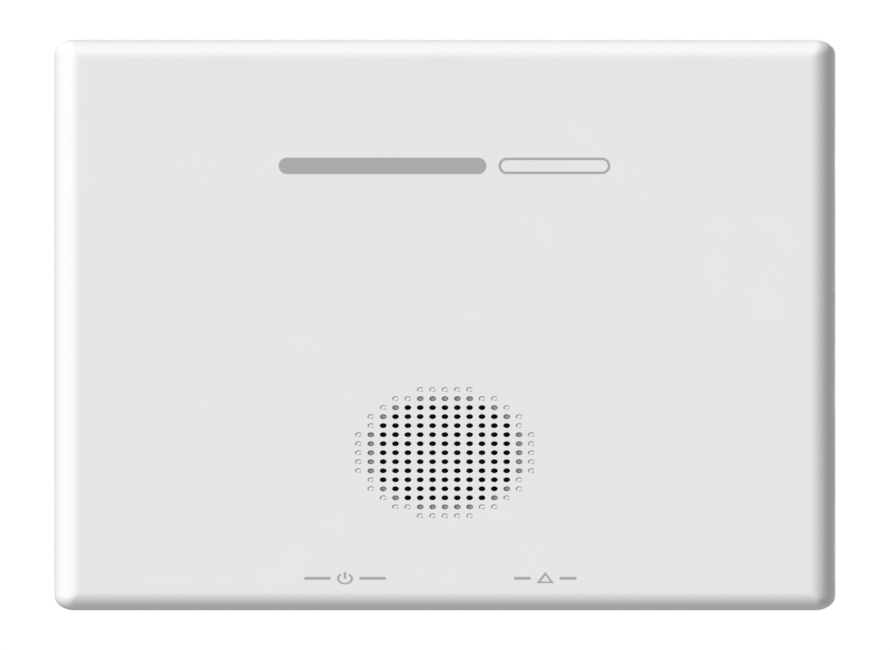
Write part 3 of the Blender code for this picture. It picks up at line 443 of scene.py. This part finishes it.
def metal(name, colour, roughness, grain=(1.0, 1.0, 1.0), tarnish=0.8):
    """Plated or bare metal: drawn grain, and patches that have dulled a little."""
    material, tree, shader = new_material(name, colour, roughness, 1.0)
    patch = noise(tree, 2.5, 4.0)
    tone = ramp(tree, patch, [(0.35, tinted(colour, tarnish)), (0.6, colour)])
    tree.links.new(tone, shader.inputs["Base Color"])
    streak = noise(tree, 0.25, 3.0, grain)
    sheen = blend(tree, streak, roughness - 0.08, roughness + 0.12)
    tree.links.new(sheen, shader.inputs["Roughness"])
    add_bump(tree, shader, streak, 0.004, 0.5)
    return material


def woven_mesh():
    """Black dust mesh: fine threads over and under each other. The colour is lighter along the threads
    and darker between them, a painted sheen on the threads.
    """
    material, tree, shader = new_material("mesh_black", (0.01, 0.01, 0.01), 0.8)
    weave = tree.nodes.new("ShaderNodeMath")
    weave.operation = "MAXIMUM"
    tree.links.new(wave(tree, "X", THREAD_PITCH), weave.inputs[0])
    tree.links.new(wave(tree, "Z", THREAD_PITCH), weave.inputs[1])
    # Painted sheen: the colour is lighter along the threads than between them.
    tone = ramp(tree, weave.outputs["Value"], [(0.5, 0.002), (1.0, 0.02)])
    tree.links.new(tone, shader.inputs["Base Color"])
    add_bump(tree, shader, weave.outputs["Value"], 0.05, 0.7)
    return material


def circuit_board():
    """Green solder mask over copper tracks, which run level, upright and at 45 degrees. The tracks
    are the borders of flat cells, where the two nearest cells are about equally far away."""
    material, tree, shader = new_material("board_green", (0.02, 0.16, 0.06), 0.35)
    place = tree.nodes.new("ShaderNodeTexCoord")
    face = tree.nodes.new("ShaderNodeSeparateXYZ")
    flat = tree.nodes.new("ShaderNodeCombineXYZ")
    tree.links.new(place.outputs["Object"], face.inputs["Vector"])
    tree.links.new(face.outputs["X"], flat.inputs["X"])
    tree.links.new(face.outputs["Z"], flat.inputs["Y"])
    gap = tree.nodes.new("ShaderNodeMath")
    gap.operation = "SUBTRACT"
    for socket, feature in enumerate(("F2", "F1")):
        cells = tree.nodes.new("ShaderNodeTexVoronoi")
        cells.distance = "MANHATTAN"
        cells.feature = feature
        cells.voronoi_dimensions = "2D"
        cells.inputs["Scale"].default_value = 1.0 / (TRACK_PITCH * MM)
        cells.inputs["Randomness"].default_value = 0.8
        tree.links.new(flat.outputs["Vector"], cells.inputs["Vector"])
        tree.links.new(cells.outputs["Distance"], gap.inputs[socket])
    track = ramp(tree, gap.outputs["Value"], [(0.10, 1.0), (0.13, 0.0)])
    mix = tree.nodes.new("ShaderNodeMix")
    mix.data_type = "RGBA"
    mix.inputs["A"].default_value = (0.012, 0.11, 0.04, 1.0)
    mix.inputs["B"].default_value = (0.04, 0.24, 0.09, 1.0)
    tree.links.new(track, mix.inputs["Factor"])
    tree.links.new(mix.outputs["Result"], shader.inputs["Base Color"])
    add_bump(tree, shader, track, 0.03, 0.6)
    return material


def clear_plastic(name, colour, roughness):
    """Clear or tinted plastic with faint flow lines."""
    material, tree, shader = new_material(name, colour, roughness)
    shader.inputs["Transmission Weight"].default_value = 0.85
    shader.inputs["IOR"].default_value = 1.49
    flow = noise(tree, 1.5, 2.0)
    tree.links.new(blend(tree, flow, roughness, roughness + 0.08), shader.inputs["Roughness"])
    add_bump(tree, shader, flow, 0.01, 0.3)
    return material


def rough_solid(name, colour, roughness, feature, depth, spread=0.25):
    """Matte granular material, such as ceramic, ferrite, cloth or paper."""
    material, tree, shader = new_material(name, colour, roughness)
    speckle = noise(tree, feature, 4.0)
    tone = blend(tree, speckle, tinted(colour, 1 - spread), tinted(colour, 1 + spread))
    tree.links.new(tone, shader.inputs["Base Color"])
    add_bump(tree, shader, speckle, depth, 0.7)
    return material


def wound_wire():
    """Enamelled copper wire, wound round an axis that runs out of the wall. The colour darkens in the
    grooves between turns, which is painted shade; the bump gives the turns their relief.
    """
    material, tree, shader = new_material("copper_winding", (0.72, 0.36, 0.18), 0.3, 1.0)
    turns = wave(tree, "Y", WINDING_PITCH)
    # Painted shade: darker in the grooves between the turns of wire.
    tone = ramp(tree, turns, [(0.1, (0.30, 0.12, 0.05)), (0.7, (0.76, 0.40, 0.20))])
    tree.links.new(tone, shader.inputs["Base Color"])
    add_bump(tree, shader, turns, 0.12, 0.8)
    return material


def cell_film(name, colour):
    """Glossy printed film, drawn tight over the metal can."""
    material, tree, shader = new_material(name, colour, 0.28)
    shader.inputs["Coat Weight"].default_value = 0.4
    shader.inputs["Coat Roughness"].default_value = 0.15
    wrinkle = noise(tree, 4.0, 3.0)
    tone = blend(tree, wrinkle, tinted(colour, 0.96), tinted(colour, 1.04))
    tree.links.new(tone, shader.inputs["Base Color"])
    tree.links.new(blend(tree, wrinkle, 0.22, 0.36), shader.inputs["Roughness"])
    add_bump(tree, shader, wrinkle, 0.02, 0.4)
    return material


def make_materials():
    """One material for each of the record's slots, one for the light bands and signs on the cells,
    and one for the printed marks."""
    made = [
        moulded_plastic("case_white", (0.78, 0.78, 0.78), 0.42),
        moulded_plastic("rear_white", (0.74, 0.74, 0.735), 0.52, 0.3, 0.01),
        moulded_plastic("button_white", (0.72, 0.72, 0.72), 0.34, 0.15, 0.003),
        woven_mesh(),
        circuit_board(),
        moulded_plastic("chip_black", (0.02, 0.02, 0.022), 0.5, 0.12, 0.006),
        moulded_plastic("sounder_black", (0.03, 0.03, 0.03), 0.55),
        metal("brass", (0.78, 0.57, 0.25), 0.28),
        rough_solid("piezo_ceramic", (0.83, 0.80, 0.74), 0.6, 0.15, 0.004, 0.04),
        metal("spring_steel", (0.70, 0.70, 0.72), 0.26, (1.0, 1.0, 0.2), 0.9),
        metal("screw_steel", (0.55, 0.55, 0.57), 0.3, tarnish=0.9),
        moulded_plastic("sensor_ivory", (0.80, 0.77, 0.67), 0.48),
        rough_solid("charcoal", (0.025, 0.025, 0.025), 0.95, 0.2, 0.05, 0.5),
        clear_plastic("led_green", (0.25, 0.75, 0.30), 0.12),
        clear_plastic("led_red", (0.80, 0.08, 0.06), 0.12),
        clear_plastic("led_amber", (0.90, 0.55, 0.10), 0.12),
        clear_plastic("clear_acrylic", (0.90, 0.92, 0.93), 0.06),
        rough_solid("label_silver", (0.66, 0.67, 0.68), 0.4, 0.1, 0.003, 0.03),
        rough_solid("ferrite", (0.10, 0.10, 0.10), 0.7, 0.15, 0.01),
        wound_wire(),
        moulded_plastic("capacitor_sleeve", (0.03, 0.05, 0.12), 0.3, 0.4, 0.002),
        cell_film("cell_jacket", (0.09, 0.11, 0.16)),
        cell_film("cell_band", (0.55, 0.57, 0.60)),
        printed_ink(),
    ]
    return {material.name.removesuffix(LOOK): material for material in made}


# ---- Front cover


def grille_places(least, most):
    """Centres of the grille's holes whose distance from its middle lies between two reaches."""
    count = math.floor(SHALLOW_REACH)
    places = []
    for column in range(-count, count + 1):
        for row in range(-count, count + 1):
            if least <= math.hypot(column, row) < most:
                x = GRILLE.x + column * HOLE_SPACING_UP * OVAL
                places.append((x, GRILLE.y + row * HOLE_SPACING_UP))
    return places


def oval_loops(section, place):
    """A section of (half height, z) points, as ovals round a place on the face."""
    return [at_height(ellipse(half * OVAL, half, HOLE_SIDES, place), z) for half, z in section]


def hole_cutter(places, floor, flare=0.0):
    """Oval cutters, with a mouth that flares by a little or not at all."""
    half = HOLE_UP / 2
    section = [(half, floor)]
    if flare:
        section.append((half, FACE - 1.3 * flare))
        section.append((half + 0.4 * flare, FACE - 0.4 * flare))
        section.append((half + flare, FACE))
    section.append((half + flare, FACE + DEEPER))
    builder = bmesh.new()
    for place in places:
        add_skin(builder, oval_loops(section, place))
    return shape_of(builder)


def groove_cutter(places, depth):
    """Narrow oval grooves round the floors of dimples."""
    outer = HOLE_UP / 2
    inner = outer - RIM_GROOVE
    low, high = FACE - depth, FACE + DEEPER
    section = [(outer, low), (outer, high), (inner, high), (inner, low)]
    builder = bmesh.new()
    for place in places:
        add_skin(builder, oval_loops(section, place), capped=False)
    return shape_of(builder)


def edge_loop(angle):
    """A loop round the front edge, at an angle of its rounding: 0 where it leaves the sides, and a
    quarter turn where it meets the face. At the sides it is deeper in the ratio that it is wider."""
    inset = EDGE_UP * (1 - math.cos(angle))
    quarter = [math.pi / 2 * step / CORNER_STEPS for step in range(CORNER_STEPS + 1)]
    facing = [start * math.pi / 2 + turn for start in range(4) for turn in quarter]
    depths = [EDGE_OUT * OVAL ** (math.cos(direction) ** 2) for direction in facing]
    outline = case_outline(inset * OVAL, inset)
    return [(x, y, FACE - depth * (1 - math.sin(angle))) for (x, y), depth in zip(outline, depths)]


def cover_shell():
    """Straight sides, a rounded front edge, a flat face and a softened rim."""
    loops = []
    for angle in map(math.radians, (0, 30, 60, 90)):
        inset = RIM_ROUND * (1 - math.sin(angle))
        z = PARTING + RIM_ROUND * (1 - math.cos(angle))
        loops.append(at_height(case_outline(inset, inset), z))
    loops += [edge_loop(math.pi / 2 * step / EDGE_STEPS) for step in range(EDGE_STEPS + 1)]
    support = EDGE_UP + EDGE_SUPPORT
    loops.append(at_height(case_outline(support * OVAL, support), FACE))
    builder = bmesh.new()
    add_skin(builder, loops)
    shell = shape_of(builder)
    inside = case_outline(WALL, WALL)
    narrowed = case_outline(2 * WALL, 1.8 * WALL)
    rings = [(inside, PARTING - DEEPER), (inside, FACE_INSIDE - WALL), (narrowed, FACE_INSIDE)]
    return cut(shell, lofted(rings))


def cover_bosses():
    """What stands on the inside of the face: screw bosses, the collar round the sounder, sockets
    for the light pipes, and two ribs beside the battery drawer."""
    root = FACE_INSIDE + ROOTED
    grown = []
    for node in CASE_SCREWS:
        grown.append(cylinder(BOSS_RADIUS, PARTING, root, bench_centre(node)[:2]))
    outer = COLLAR_RADIUS + COLLAR_WALL
    section = [(COLLAR_RADIUS, COLLAR_LOW), (outer, COLLAR_LOW), (outer, root), (COLLAR_RADIUS, root)]
    grown.append(turned(section, 72, GRILLE[:2], ring=True))
    for name in INDICATORS:
        centre = bench_centre(f"{name}_light_pipe")
        grown.append(cylinder(SOCKET_RADIUS + SOCKET_WALL, SOCKET_LOW, root, centre[:2]))
    drawer_low, drawer_high = bench_box("battery_drawer")
    left = COVER_LOW.x + WALL - ROOTED
    for y in (drawer_low.y + RIB_HALF, drawer_high.y - RIB_HALF):
        grown.append(block((left, y - RIB_HALF, RIB_LOW), (drawer_high.x, y + RIB_HALF, root)))
    return grown


def vent_cutter(y, outward):
    """Rounded slots through a wall, flared at its outside."""
    middle = (VENT_LOW + VENT_HIGH) / 2
    half = (VENT_HIGH - VENT_LOW) / 2
    section = [(0.0, -WALL - 0.5), (0.0, -1.5 * VENT_FLARE), (VENT_FLARE, 0.0), (VENT_FLARE, DEEPER)]
    builder = bmesh.new()
    for x in VENT_XS:
        loops = []
        for grown, depth in section:
            half_x = VENT_HALF_X + grown
            corner = half_x - 0.02
            outline = rounded_rectangle(half_x, half + grown, corner, corner, 6, (x, middle))
            loops.append([(px, y + outward * depth, pz) for px, pz in outline])
        add_skin(builder, loops)
    return shape_of(builder)


def grille_cutters():
    """The pocket behind the grille, the through holes, and the two depths of dimples."""
    pocket_top = DEPTH - GRILLE_WALL
    through = grille_places(0, THROUGH_REACH)
    deep = grille_places(THROUGH_REACH, DEEP_REACH)
    shallow = grille_places(DEEP_REACH, SHALLOW_REACH)
    return [
        cylinder(GRILLE_POCKET_RADIUS, FACE_INSIDE - DEEPER, pocket_top, GRILLE[:2], 72),
        hole_cutter(through, pocket_top - HOLE_OVERLAP, HOLE_FLARE),
        hole_cutter(deep, FACE - DEEP_DIMPLE),
        groove_cutter(deep, DEEP_GROOVE),
        hole_cutter(shallow, FACE - SHALLOW_DIMPLE),
        groove_cutter(shallow, SHALLOW_GROOVE),
    ]


def notch_cutter():
    """Room in the left-hand side for the drawer's face."""
    low, high = bench_box("battery_drawer")
    notch_low = (COVER_LOW.x - DEEPER, low.y - NOTCH_SPARE, PARTING - DEEPER)
    notch_high = (COVER_LOW.x + WALL + 0.01, high.y + NOTCH_SPARE, high.z + NOTCH_SPARE)
    return block(notch_low, notch_high)


def window_cutter():
    """A window in the right-hand side for the test button."""
    _, y, z = bench_centre("test_button")
    corner = WINDOW_CORNER
    outline = rounded_rectangle(WINDOW_HALF_Z, WINDOW_HALF_Y, corner, corner, 8, (-z, y))
    return aimed(prism(outline, COVER_HIGH.x - WALL - DEEPER, COVER_HIGH.x + DEEPER), "X")


def make_front_cover(material):
    cover = joined(cover_shell(), *cover_bosses())
    cover = cut(cover, *grille_cutters())
    for node in CASE_SCREWS:
        cover = cut(cover, cylinder(BOSS_HOLE, PARTING - DEEPER, BOSS_DEPTH, bench_centre(node)[:2]))
    socket_low, socket_high = SOCKET_LOW - DEEPER, DEPTH - INDICATOR_WALL
    for name in INDICATORS:
        centre = bench_centre(f"{name}_light_pipe")
        cover = cut(cover, cylinder(SOCKET_RADIUS, socket_low, socket_high, centre[:2]))
    cover = cut(cover, vent_cutter(COVER_HIGH.y, 1), vent_cutter(COVER_LOW.y, -1))
    cover = cut(cover, notch_cutter(), window_cutter())
    return piece("front_cover_shell", cover, material, "case", ["front_cover"])


# ---- Printed marks, all generic. Like the holes, they are wider than tall.


def band(outer, width, start, end, centre):
    """Outline of a stretch of an oval ring, between two angles in degrees."""
    steps = 40
    x, y = centre
    inner = outer - width
    angles = [math.radians(start + (end - start) * step / steps) for step in range(steps + 1)]
    outside = [(x + outer * OVAL * math.cos(a), y + outer * math.sin(a)) for a in angles]
    inside = [(x + inner * OVAL * math.cos(a), y + inner * math.sin(a)) for a in angles]
    return outside + inside[::-1]


def triangle(reach, centre):
    """Outline of a triangle that points up."""
    x, y = centre
    angles = [math.radians(90 + 120 * corner) for corner in range(3)]
    return [(x + reach * OVAL * math.cos(a), y + reach * math.sin(a)) for a in angles]


def bar(left, right, height, y):
    """Outline of a level bar with round ends."""
    half = height / 2
    corner = half - 0.01
    return rounded_rectangle((right - left) / 2, half, corner, corner, 12, ((left + right) / 2, y))


def dashes(x, end):
    """Outlines of two dashes, left and right of a symbol."""
    return [
        bar(x - end, x - SYMBOL_CLEAR, DASH_HEIGHT, SYMBOL_Y),
        bar(x + SYMBOL_CLEAR, x + end, DASH_HEIGHT, SYMBOL_Y),
    ]


def make_mark(name, outlines, ink, holes=()):
    """A printed mark: the thickness of its ink, standing on the face."""
    low, high = FACE - 0.02, DEPTH - 0.002
    builder = bmesh.new()
    for outline in outlines:
        add_skin(builder, [at_height(outline, low), at_height(outline, high)])
    mark = shape_of(builder)
    for hole in holes:
        mark = cut(mark, prism(hole, low - DEEPER, high + DEEPER))
    return piece(name, mark, ink, "case")


def make_marks(ink):
    """Two bars near the top, and a power symbol and a triangle between dashes near the bottom."""
    make_mark("header_mark_bold", [bar(HEADER_LEFT, HEADER_MIDDLE, HEADER_HEIGHT, HEADER_Y)], ink)
    left = HEADER_MIDDLE + HEADER_GAP
    outer = bar(left, HEADER_RIGHT, HEADER_HEIGHT, HEADER_Y)
    inner_right, inner_height = HEADER_RIGHT - HEADER_LINE, HEADER_HEIGHT - 2 * HEADER_LINE
    inner = bar(left + HEADER_LINE, inner_right, inner_height, HEADER_Y)
    make_mark("header_mark_light", [outer], ink, [inner])

    x = -SYMBOL_X
    ring = band(POWER_RING, POWER_LINE, 125, 415, (x, SYMBOL_Y - 0.05))
    stem = rounded_rectangle(0.13 * OVAL, 0.5, 0.05, 0.05, 3, (x, SYMBOL_Y + 0.42))
    make_mark("power_mark", [*dashes(x, POWER_DASH_END), ring, stem], ink)

    centre = (SYMBOL_X, SYMBOL_Y - 0.18)
    outer, inner = triangle(FAULT_OUTER, centre), triangle(FAULT_INNER, centre)
    make_mark("fault_mark", [*dashes(SYMBOL_X, FAULT_DASH_END), outer], ink, [inner])


# ---- CAD pieces that keep their shape, with the edges of a moulding


def softened(node, material, body, radius):
    """A copy of a CAD node whose flat faces are whole and whose edges are rounded."""
    shape = bpy.data.objects.new(f"{node}_moulding", frame["nodes"][node].data.copy())
    bpy.context.scene.collection.objects.link(shape)
    builder = bmesh.new()
    builder.from_mesh(shape.data)
    bmesh.ops.remove_doubles(builder, verts=builder.verts, dist=SAME_POINT * MM)
    bmesh.ops.dissolve_limit(
        builder, angle_limit=math.radians(FLAT_WITHIN), verts=builder.verts, edges=builder.edges
    )
    builder.to_mesh(shape.data)
    builder.free()
    shape.data.materials.clear()
    shape.data.materials.append(material)
    bevel = shape.modifiers.new("round_edges", "BEVEL")
    bevel.width = radius * MM
    bevel.segments = 3
    bevel.limit_method = "ANGLE"
    bevel.angle_limit = math.radians(MOULDING_EDGE)
    shape.data.shade_smooth()
    shape.data.set_sharp_from_angle(angle=math.radians(MOULDING_SHARP))
    weighted = shape.modifiers.new("flat_faces", "WEIGHTED_NORMAL")
    weighted.keep_sharp = True
    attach(shape, body)
    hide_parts(node)
    return shape


# ---- Case screws, cells and the sprung contact in the drawer


def cross_outline(arm, half, centre):
    """Outline of an upright cross with arms of equal length."""
    quarter = [(arm, -half), (arm, half), (half, half)]
    points = []
    for turn in range(4):
        cos, sin = math.cos(math.pi / 2 * turn), math.sin(math.pi / 2 * turn)
        for x, y in quarter:
            points.append((centre[0] + (x * cos - y * sin), centre[1] + (x * sin + y * cos)))
    return points


def make_case_screw(node, steel):
    """Domed head with a tapered cross recess, facing the wall, and a threaded shank."""
    low, high = bench_box(node)
    centre = bench_centre(node)[:2]
    top, seat, tip = low.z, low.z + SCREW_HEAD, high.z
    profile = [(0.45, top), (1.3, top + 0.08), (1.85, top + 0.3), (2.2, top + 0.75), (2.3, top + 1.2)]
    profile += [(2.3, seat - 0.1), (2.2, seat), (SCREW_RADIUS, seat)]
    profile.append((SCREW_RADIUS, seat + SCREW_PLAIN))
    turns = int((tip - seat - SCREW_PLAIN - SCREW_POINT) / SCREW_PITCH)
    for turn in range(turns):
        z = seat + SCREW_PLAIN + SCREW_PITCH * turn
        profile.append((SCREW_RADIUS - THREAD_DEPTH, z + 0.25 * SCREW_PITCH))
        profile.append((SCREW_RADIUS, z + 0.6 * SCREW_PITCH))
    profile += [(SCREW_RADIUS - 0.3, tip - 1.2), (0.2, tip)]
    screw = turned(profile, 40, centre)
    wide, narrow = cross_outline(1.4, 0.3, centre), cross_outline(0.6, 0.2, centre)
    screw = cut(screw, lofted([(wide, top - DEEPER), (wide, top + 0.1), (narrow, top + 1.3)]))
    return piece(f"{node}_fine", screw, steel, "case", [node])


def make_cell(node, towards, can_metal, jacket_film, band_film):
    """A metal can with a raised positive end, in a film jacket rolled over both rims, with a
    lighter band and a plus and a minus printed on it. Profiles run from the flat end."""
    body = "battery_drawer"
    low, high = bench_box(node)
    length = high.x - low.x
    tip = high.x if towards == "X" else low.x
    shoulder = length - CELL_NUB
    _, y, z = bench_centre(node)
    radius = CELL_RADIUS

    def placed(shape):
        shape.data.transform(Matrix.Translation((0, 0, -length * MM)))
        return aimed(shape, towards, (tip, y, z))

    can = [(4.6, 0.0), (5.2, 0.06), (5.5, 0.25), (6.2, 0.25), (6.7, 0.35), (7.0, 0.8)]
    can += [(7.0, shoulder - 0.8), (6.7, shoulder - 0.35), (6.2, shoulder - 0.25)]
    can += [(3.3, shoulder - 0.25), (2.85, shoulder - 0.1), (2.75, shoulder + 0.15)]
    can += [(2.75, length - 0.4), (2.55, length - 0.1), (2.2, length)]
    piece(f"{node}_can", placed(turned(can)), can_metal, body, [node])
    skin = [(5.9, 0.12), (6.8, 0.05), (7.12, 0.2), (radius, 0.6), (radius, shoulder - 0.6)]
    skin += [(7.12, shoulder - 0.2), (6.8, shoulder - 0.05), (5.6, shoulder - 0.12)]
    skin += [(5.6, shoulder - 0.22), (6.8, shoulder - 0.2), (7.08, shoulder - 0.7)]
    skin += [(7.08, 0.7), (6.8, 0.2), (5.9, 0.22)]
    jacket = placed(turned(skin, ring=True))
    piece(f"{node}_jacket", jacket, jacket_film, body, [node])

    def sleeve(start, end):
        inner, outer = radius - BAND_ROOT, radius + BAND_PROUD
        section = [(inner, start), (outer, start), (outer, end), (inner, end)]
        return placed(turned(section, ring=True))

    light_band = sleeve(BAND_START * shoulder, BAND_END * shoulder)
    piece(f"{node}_band", light_band, band_film, body, [node])
    along = 1 if towards == "X" else -1
    top = z + radius + DEEPER
    plus_x = tip - along * length * (1 - PLUS_AT)
    plus = prism(cross_outline(SIGN_ARM, SIGN_HALF_LINE, (plus_x, y)), z, top)
    minus_x = tip - along * length * (1 - MINUS_AT)
    minus_low = (minus_x - SIGN_HALF_LINE, y - SIGN_ARM, z)
    minus = block(minus_low, (minus_x + SIGN_HALF_LINE, y + SIGN_ARM, top))
    for name, sign in (("plus", plus), ("minus", minus)):
        mark = combined("INTERSECT", sleeve(0.0, length), [sign])
        piece(f"{node}_{name}", mark, band_film, body)


def make_bridge_contact(steel):
    """Sheet contact behind the drawer's face, with a conical spring for the upper cell."""
    low, high = bench_box("bridge_contact")
    _, y, z = bench_centre("aa_cell_upper")
    half_z, half_y = (high.z - low.z) / 2, (high.y - low.y) / 2
    outline = rounded_rectangle(half_z, half_y, 0.9, 0.9, 8, (-z, (low.y + high.y) / 2))
    sheet = aimed(prism(outline, 0, SHEET), "X", (low.x, 0, 0))
    wire = SPRING_WIRE
    start = 0.05
    reach = high.x - low.x - SHEET / 2 - wire
    steps = int(SPRING_TURNS * 32)
    around = [2 * math.pi * side / 12 for side in range(12)]
    loops = []
    for step in range(steps + 1):
        share = step / steps
        angle = 2 * math.pi * SPRING_TURNS * share
        radius = SPRING_RADIUS - SPRING_TAPER * share
        height = start + (reach - start) * share
        loop = []
        for a in around:
            out = radius + wire * math.cos(a)
            loop.append((out * math.cos(angle), out * math.sin(angle), height + wire * math.sin(a)))
        loops.append(loop)
    builder = bmesh.new()
    add_skin(builder, loops)
    spring = aimed(shape_of(builder), "X", (low.x + SHEET / 2, y, z))
    contact = joined(sheet, spring)
    body = "battery_drawer"
    return piece("bridge_contact_fine", contact, steel, body, ["bridge_contact"])


# ---- Leads of the two chips


def make_chip_leads(node, sides, steel):
    """Flat leads that leave a chip's sides at half height, bend down and end on the board."""
    low, high = bench_box(node)
    centre = bench_centre(node)
    half = (high - low) / 2
    top = centre.z + LEAD_THICKNESS / 2
    foot = bench_box("circuit_board")[1].z + LEAD_THICKNESS + 0.01
    upper = [(-LEAD_ROOT, top), (LEAD_KNEE, top), (LEAD_KNEE + LEAD_SLOPE, foot), (LEAD_REACH, foot)]
    lower = [(LEAD_REACH, foot), (LEAD_KNEE + 0.1, foot), (LEAD_KNEE - 0.1, top), (-LEAD_ROOT, top)]
    section = upper + [(out, z - LEAD_THICKNESS) for out, z in lower]
    builder = bmesh.new()
    for side_x, side_y in sides:
        half_out = half.x if side_x else half.y
        half_along = half.y if side_x else half.x
        count = 1 + int((2 * half_along - 1.0) / LEAD_PITCH)
        for lead in range(count):
            middle = (lead - (count - 1) / 2) * LEAD_PITCH
            loops = []
            for along in (middle - LEAD_WIDTH / 2, middle + LEAD_WIDTH / 2):
                loop = []
                for out, z in section:
                    x = centre.x + side_x * (half_out + out) + side_y * along
                    y = centre.y + side_y * (half_out + out) + side_x * along
                    loop.append((x, y, z))
                loops.append(loop)
            add_skin(builder, loops)
    return piece(f"{node}_leads", shape_of(builder), steel, "case")


# ---- Rating label: plain rules where the real one is printed


def make_label(paper, ink):
    low, high = bench_box("rating_label")
    half_x, half_y = (high.x - low.x) / 2, (high.y - low.y) / 2
    centre = bench_centre("rating_label")[:2]
    label = prism(rounded_rectangle(half_x, half_y, 1.0, 1.0, 8, centre), low.z, high.z)
    piece("rating_label_fine", label, paper, "case", ["rating_label"])
    back, front = low.z - 0.01, low.z + 0.02
    inset = LABEL_FRAME
    outer = rounded_rectangle(half_x - inset, half_y - inset, 0.6, 0.6, 6, centre)
    inset += LABEL_FRAME_LINE
    inner = rounded_rectangle(half_x - inset, half_y - inset, 0.5, 0.5, 6, centre)
    border = cut(prism(outer, back, front), prism(inner, back - DEEPER, front + DEEPER))
    piece("rating_label_frame", border, ink, "case")
    right = centre[0] + half_x - LABEL_SIDE
    spacing = (2 * half_y - LABEL_TOP - LABEL_BOTTOM) / (len(LABEL_RULES) - 1)
    builder = bmesh.new()
    for row, share in enumerate(LABEL_RULES):
        y = centre[1] + half_y - LABEL_TOP - row * spacing
        reach = 2 * (half_x - LABEL_SIDE) * share
        outline = bar(right - reach, right, PLAIN_RULE if row else HEADING_RULE, y)
        add_skin(builder, [at_height(outline, back), at_height(outline, front)])
    piece("rating_label_rules", shape_of(builder), ink, "case")


# ---- Stage


def make_camera():
    """Straight on, level with the middle of the face, from far away."""
    data = bpy.data.cameras.new("camera")
    data.sensor_width = SENSOR_WIDTH
    data.lens = SENSOR_WIDTH * CAMERA_DISTANCE / FRAME_WIDTH
    camera = bpy.data.objects.new("camera", data)
    bpy.context.scene.collection.objects.link(camera)
    out = DEPTH - EDGE_OUT + CAMERA_DISTANCE
    camera.location = (0, -out * MM, (COVER_LOW.y + COVER_HIGH.y) / 2 * MM)
    camera.rotation_euler = (math.pi / 2, 0, 0)
    bpy.context.scene.camera = camera


def studio_light(name, toward, share, softness=35.0):
    """A distant softbox. Its share is the light that a surface facing it gets, where 1 shows a
    surface in its own colour."""
    data = bpy.data.lights.new(name, "SUN")
    data.energy = math.pi * share
    data.angle = math.radians(softness)
    light = bpy.data.objects.new(name, data)
    bpy.context.scene.collection.objects.link(light)
    light.rotation_euler = Vector(toward).to_track_quat("Z", "Y").to_euler()
    light.location = Vector(toward).normalized()


def make_lights():
    """Key from the upper left, with weaker lights that round off the sides, the edges and the back."""
    studio_light("key_light", (-0.585, -0.63, 0.53), 1.175, 25.0)
    studio_light("right_light", (0.85, 0.50, -0.10), 0.09)
    studio_light("back_light", (0.20, 0.97, 0.10), 0.30)


def make_world():
    """White backdrop for the camera, with a dimmer even light for the object."""
    world = bpy.data.worlds.new("studio")
    world.use_nodes = True
    tree = world.node_tree
    backdrop = tree.nodes["Background"]
    backdrop.inputs["Color"].default_value = (1, 1, 1, 1)
    backdrop.inputs["Strength"].default_value = BACKDROP
    ambient = tree.nodes.new("ShaderNodeBackground")
    ambient.inputs["Color"].default_value = (1, 1, 1, 1)
    ambient.inputs["Strength"].default_value = AMBIENT
    path = tree.nodes.new("ShaderNodeLightPath")
    mix = tree.nodes.new("ShaderNodeMixShader")
    tree.links.new(path.outputs["Is Camera Ray"], mix.inputs["Fac"])
    tree.links.new(ambient.outputs["Background"], mix.inputs[1])
    tree.links.new(backdrop.outputs["Background"], mix.inputs[2])
    tree.links.new(mix.outputs["Shader"], tree.nodes["World Output"].inputs["Surface"])
    bpy.context.scene.world = world


def make_floor():
    """Pale floor, below the unit as it hangs on its wall."""
    half = FLOOR_HALF
    top = COVER_LOW.y - FLOOR_BELOW
    outline = [(half, -half), (half, half), (-half, half), (-half, -half)]
    floor = prism(outline, top - FLOOR_THICKNESS, top)
    floor.name = "floor"
    material, tree, shader = new_material("floor_paint", (0.8, 0.8, 0.8), 0.7)
    tone = noise(tree, 60.0, 3.0)
    tree.links.new(blend(tree, tone, 0.79, 0.81), shader.inputs["Base Color"])
    floor.data.materials.append(material)


def dress_cad_nodes(materials):
    """Gives every CAD node the material of its slot, smooth round sides and softly broken edges."""
    slots = {subpart["node"]: subpart["material_slot"] for subpart in frame["record"]["subparts"]}
    for node, shape in frame["nodes"].items():
        shape.data.materials.clear()
        shape.data.materials.append(materials[slots[node]])
        shape.data.shade_smooth()
        weld = shape.modifiers.new("whole_skin", "WELD")
        weld.merge_threshold = SAME_POINT * MM
        bevel = shape.modifiers.new("broken_edges", "BEVEL")
        bevel.width = BROKEN_EDGE * MM
        bevel.segments = 2
        bevel.limit_method = "ANGLE"
        bevel.angle_limit = math.radians(CAD_EDGE)
        shape.modifiers.new("flat_faces", "WEIGHTED_NORMAL")


def main():
    materials = make_materials()
    dress_cad_nodes(materials)
    make_front_cover(materials["case_white"])
    make_marks(materials["printed_ink"])
    softened("rear_cover", materials["rear_white"], "case", 0.25)
    softened("wall_plate", materials["rear_white"], "wall", 0.2)
    softened("battery_drawer", materials["case_white"], "battery_drawer", 0.2)
    softened("test_button", materials["button_white"], "test_button", 0.25)
    for node in CASE_SCREWS:
        make_case_screw(node, materials["screw_steel"])
    steel = materials["spring_steel"]
    films = (materials["cell_jacket"], materials["cell_band"])
    make_cell("aa_cell_upper", "X", steel, *films)
    make_cell("aa_cell_lower", "-X", steel, *films)
    make_bridge_contact(steel)
    across, upright = [(1, 0), (-1, 0)], [(0, 1), (0, -1)]
    make_chip_leads("microcontroller", across + upright, steel)
    make_chip_leads("driver_chip", across, steel)
    make_label(materials["label_silver"], materials["printed_ink"])
    make_camera()
    make_world()
    make_floor()
    make_lights()
    bpy.context.scene.view_settings.view_transform = "Standard"


main()
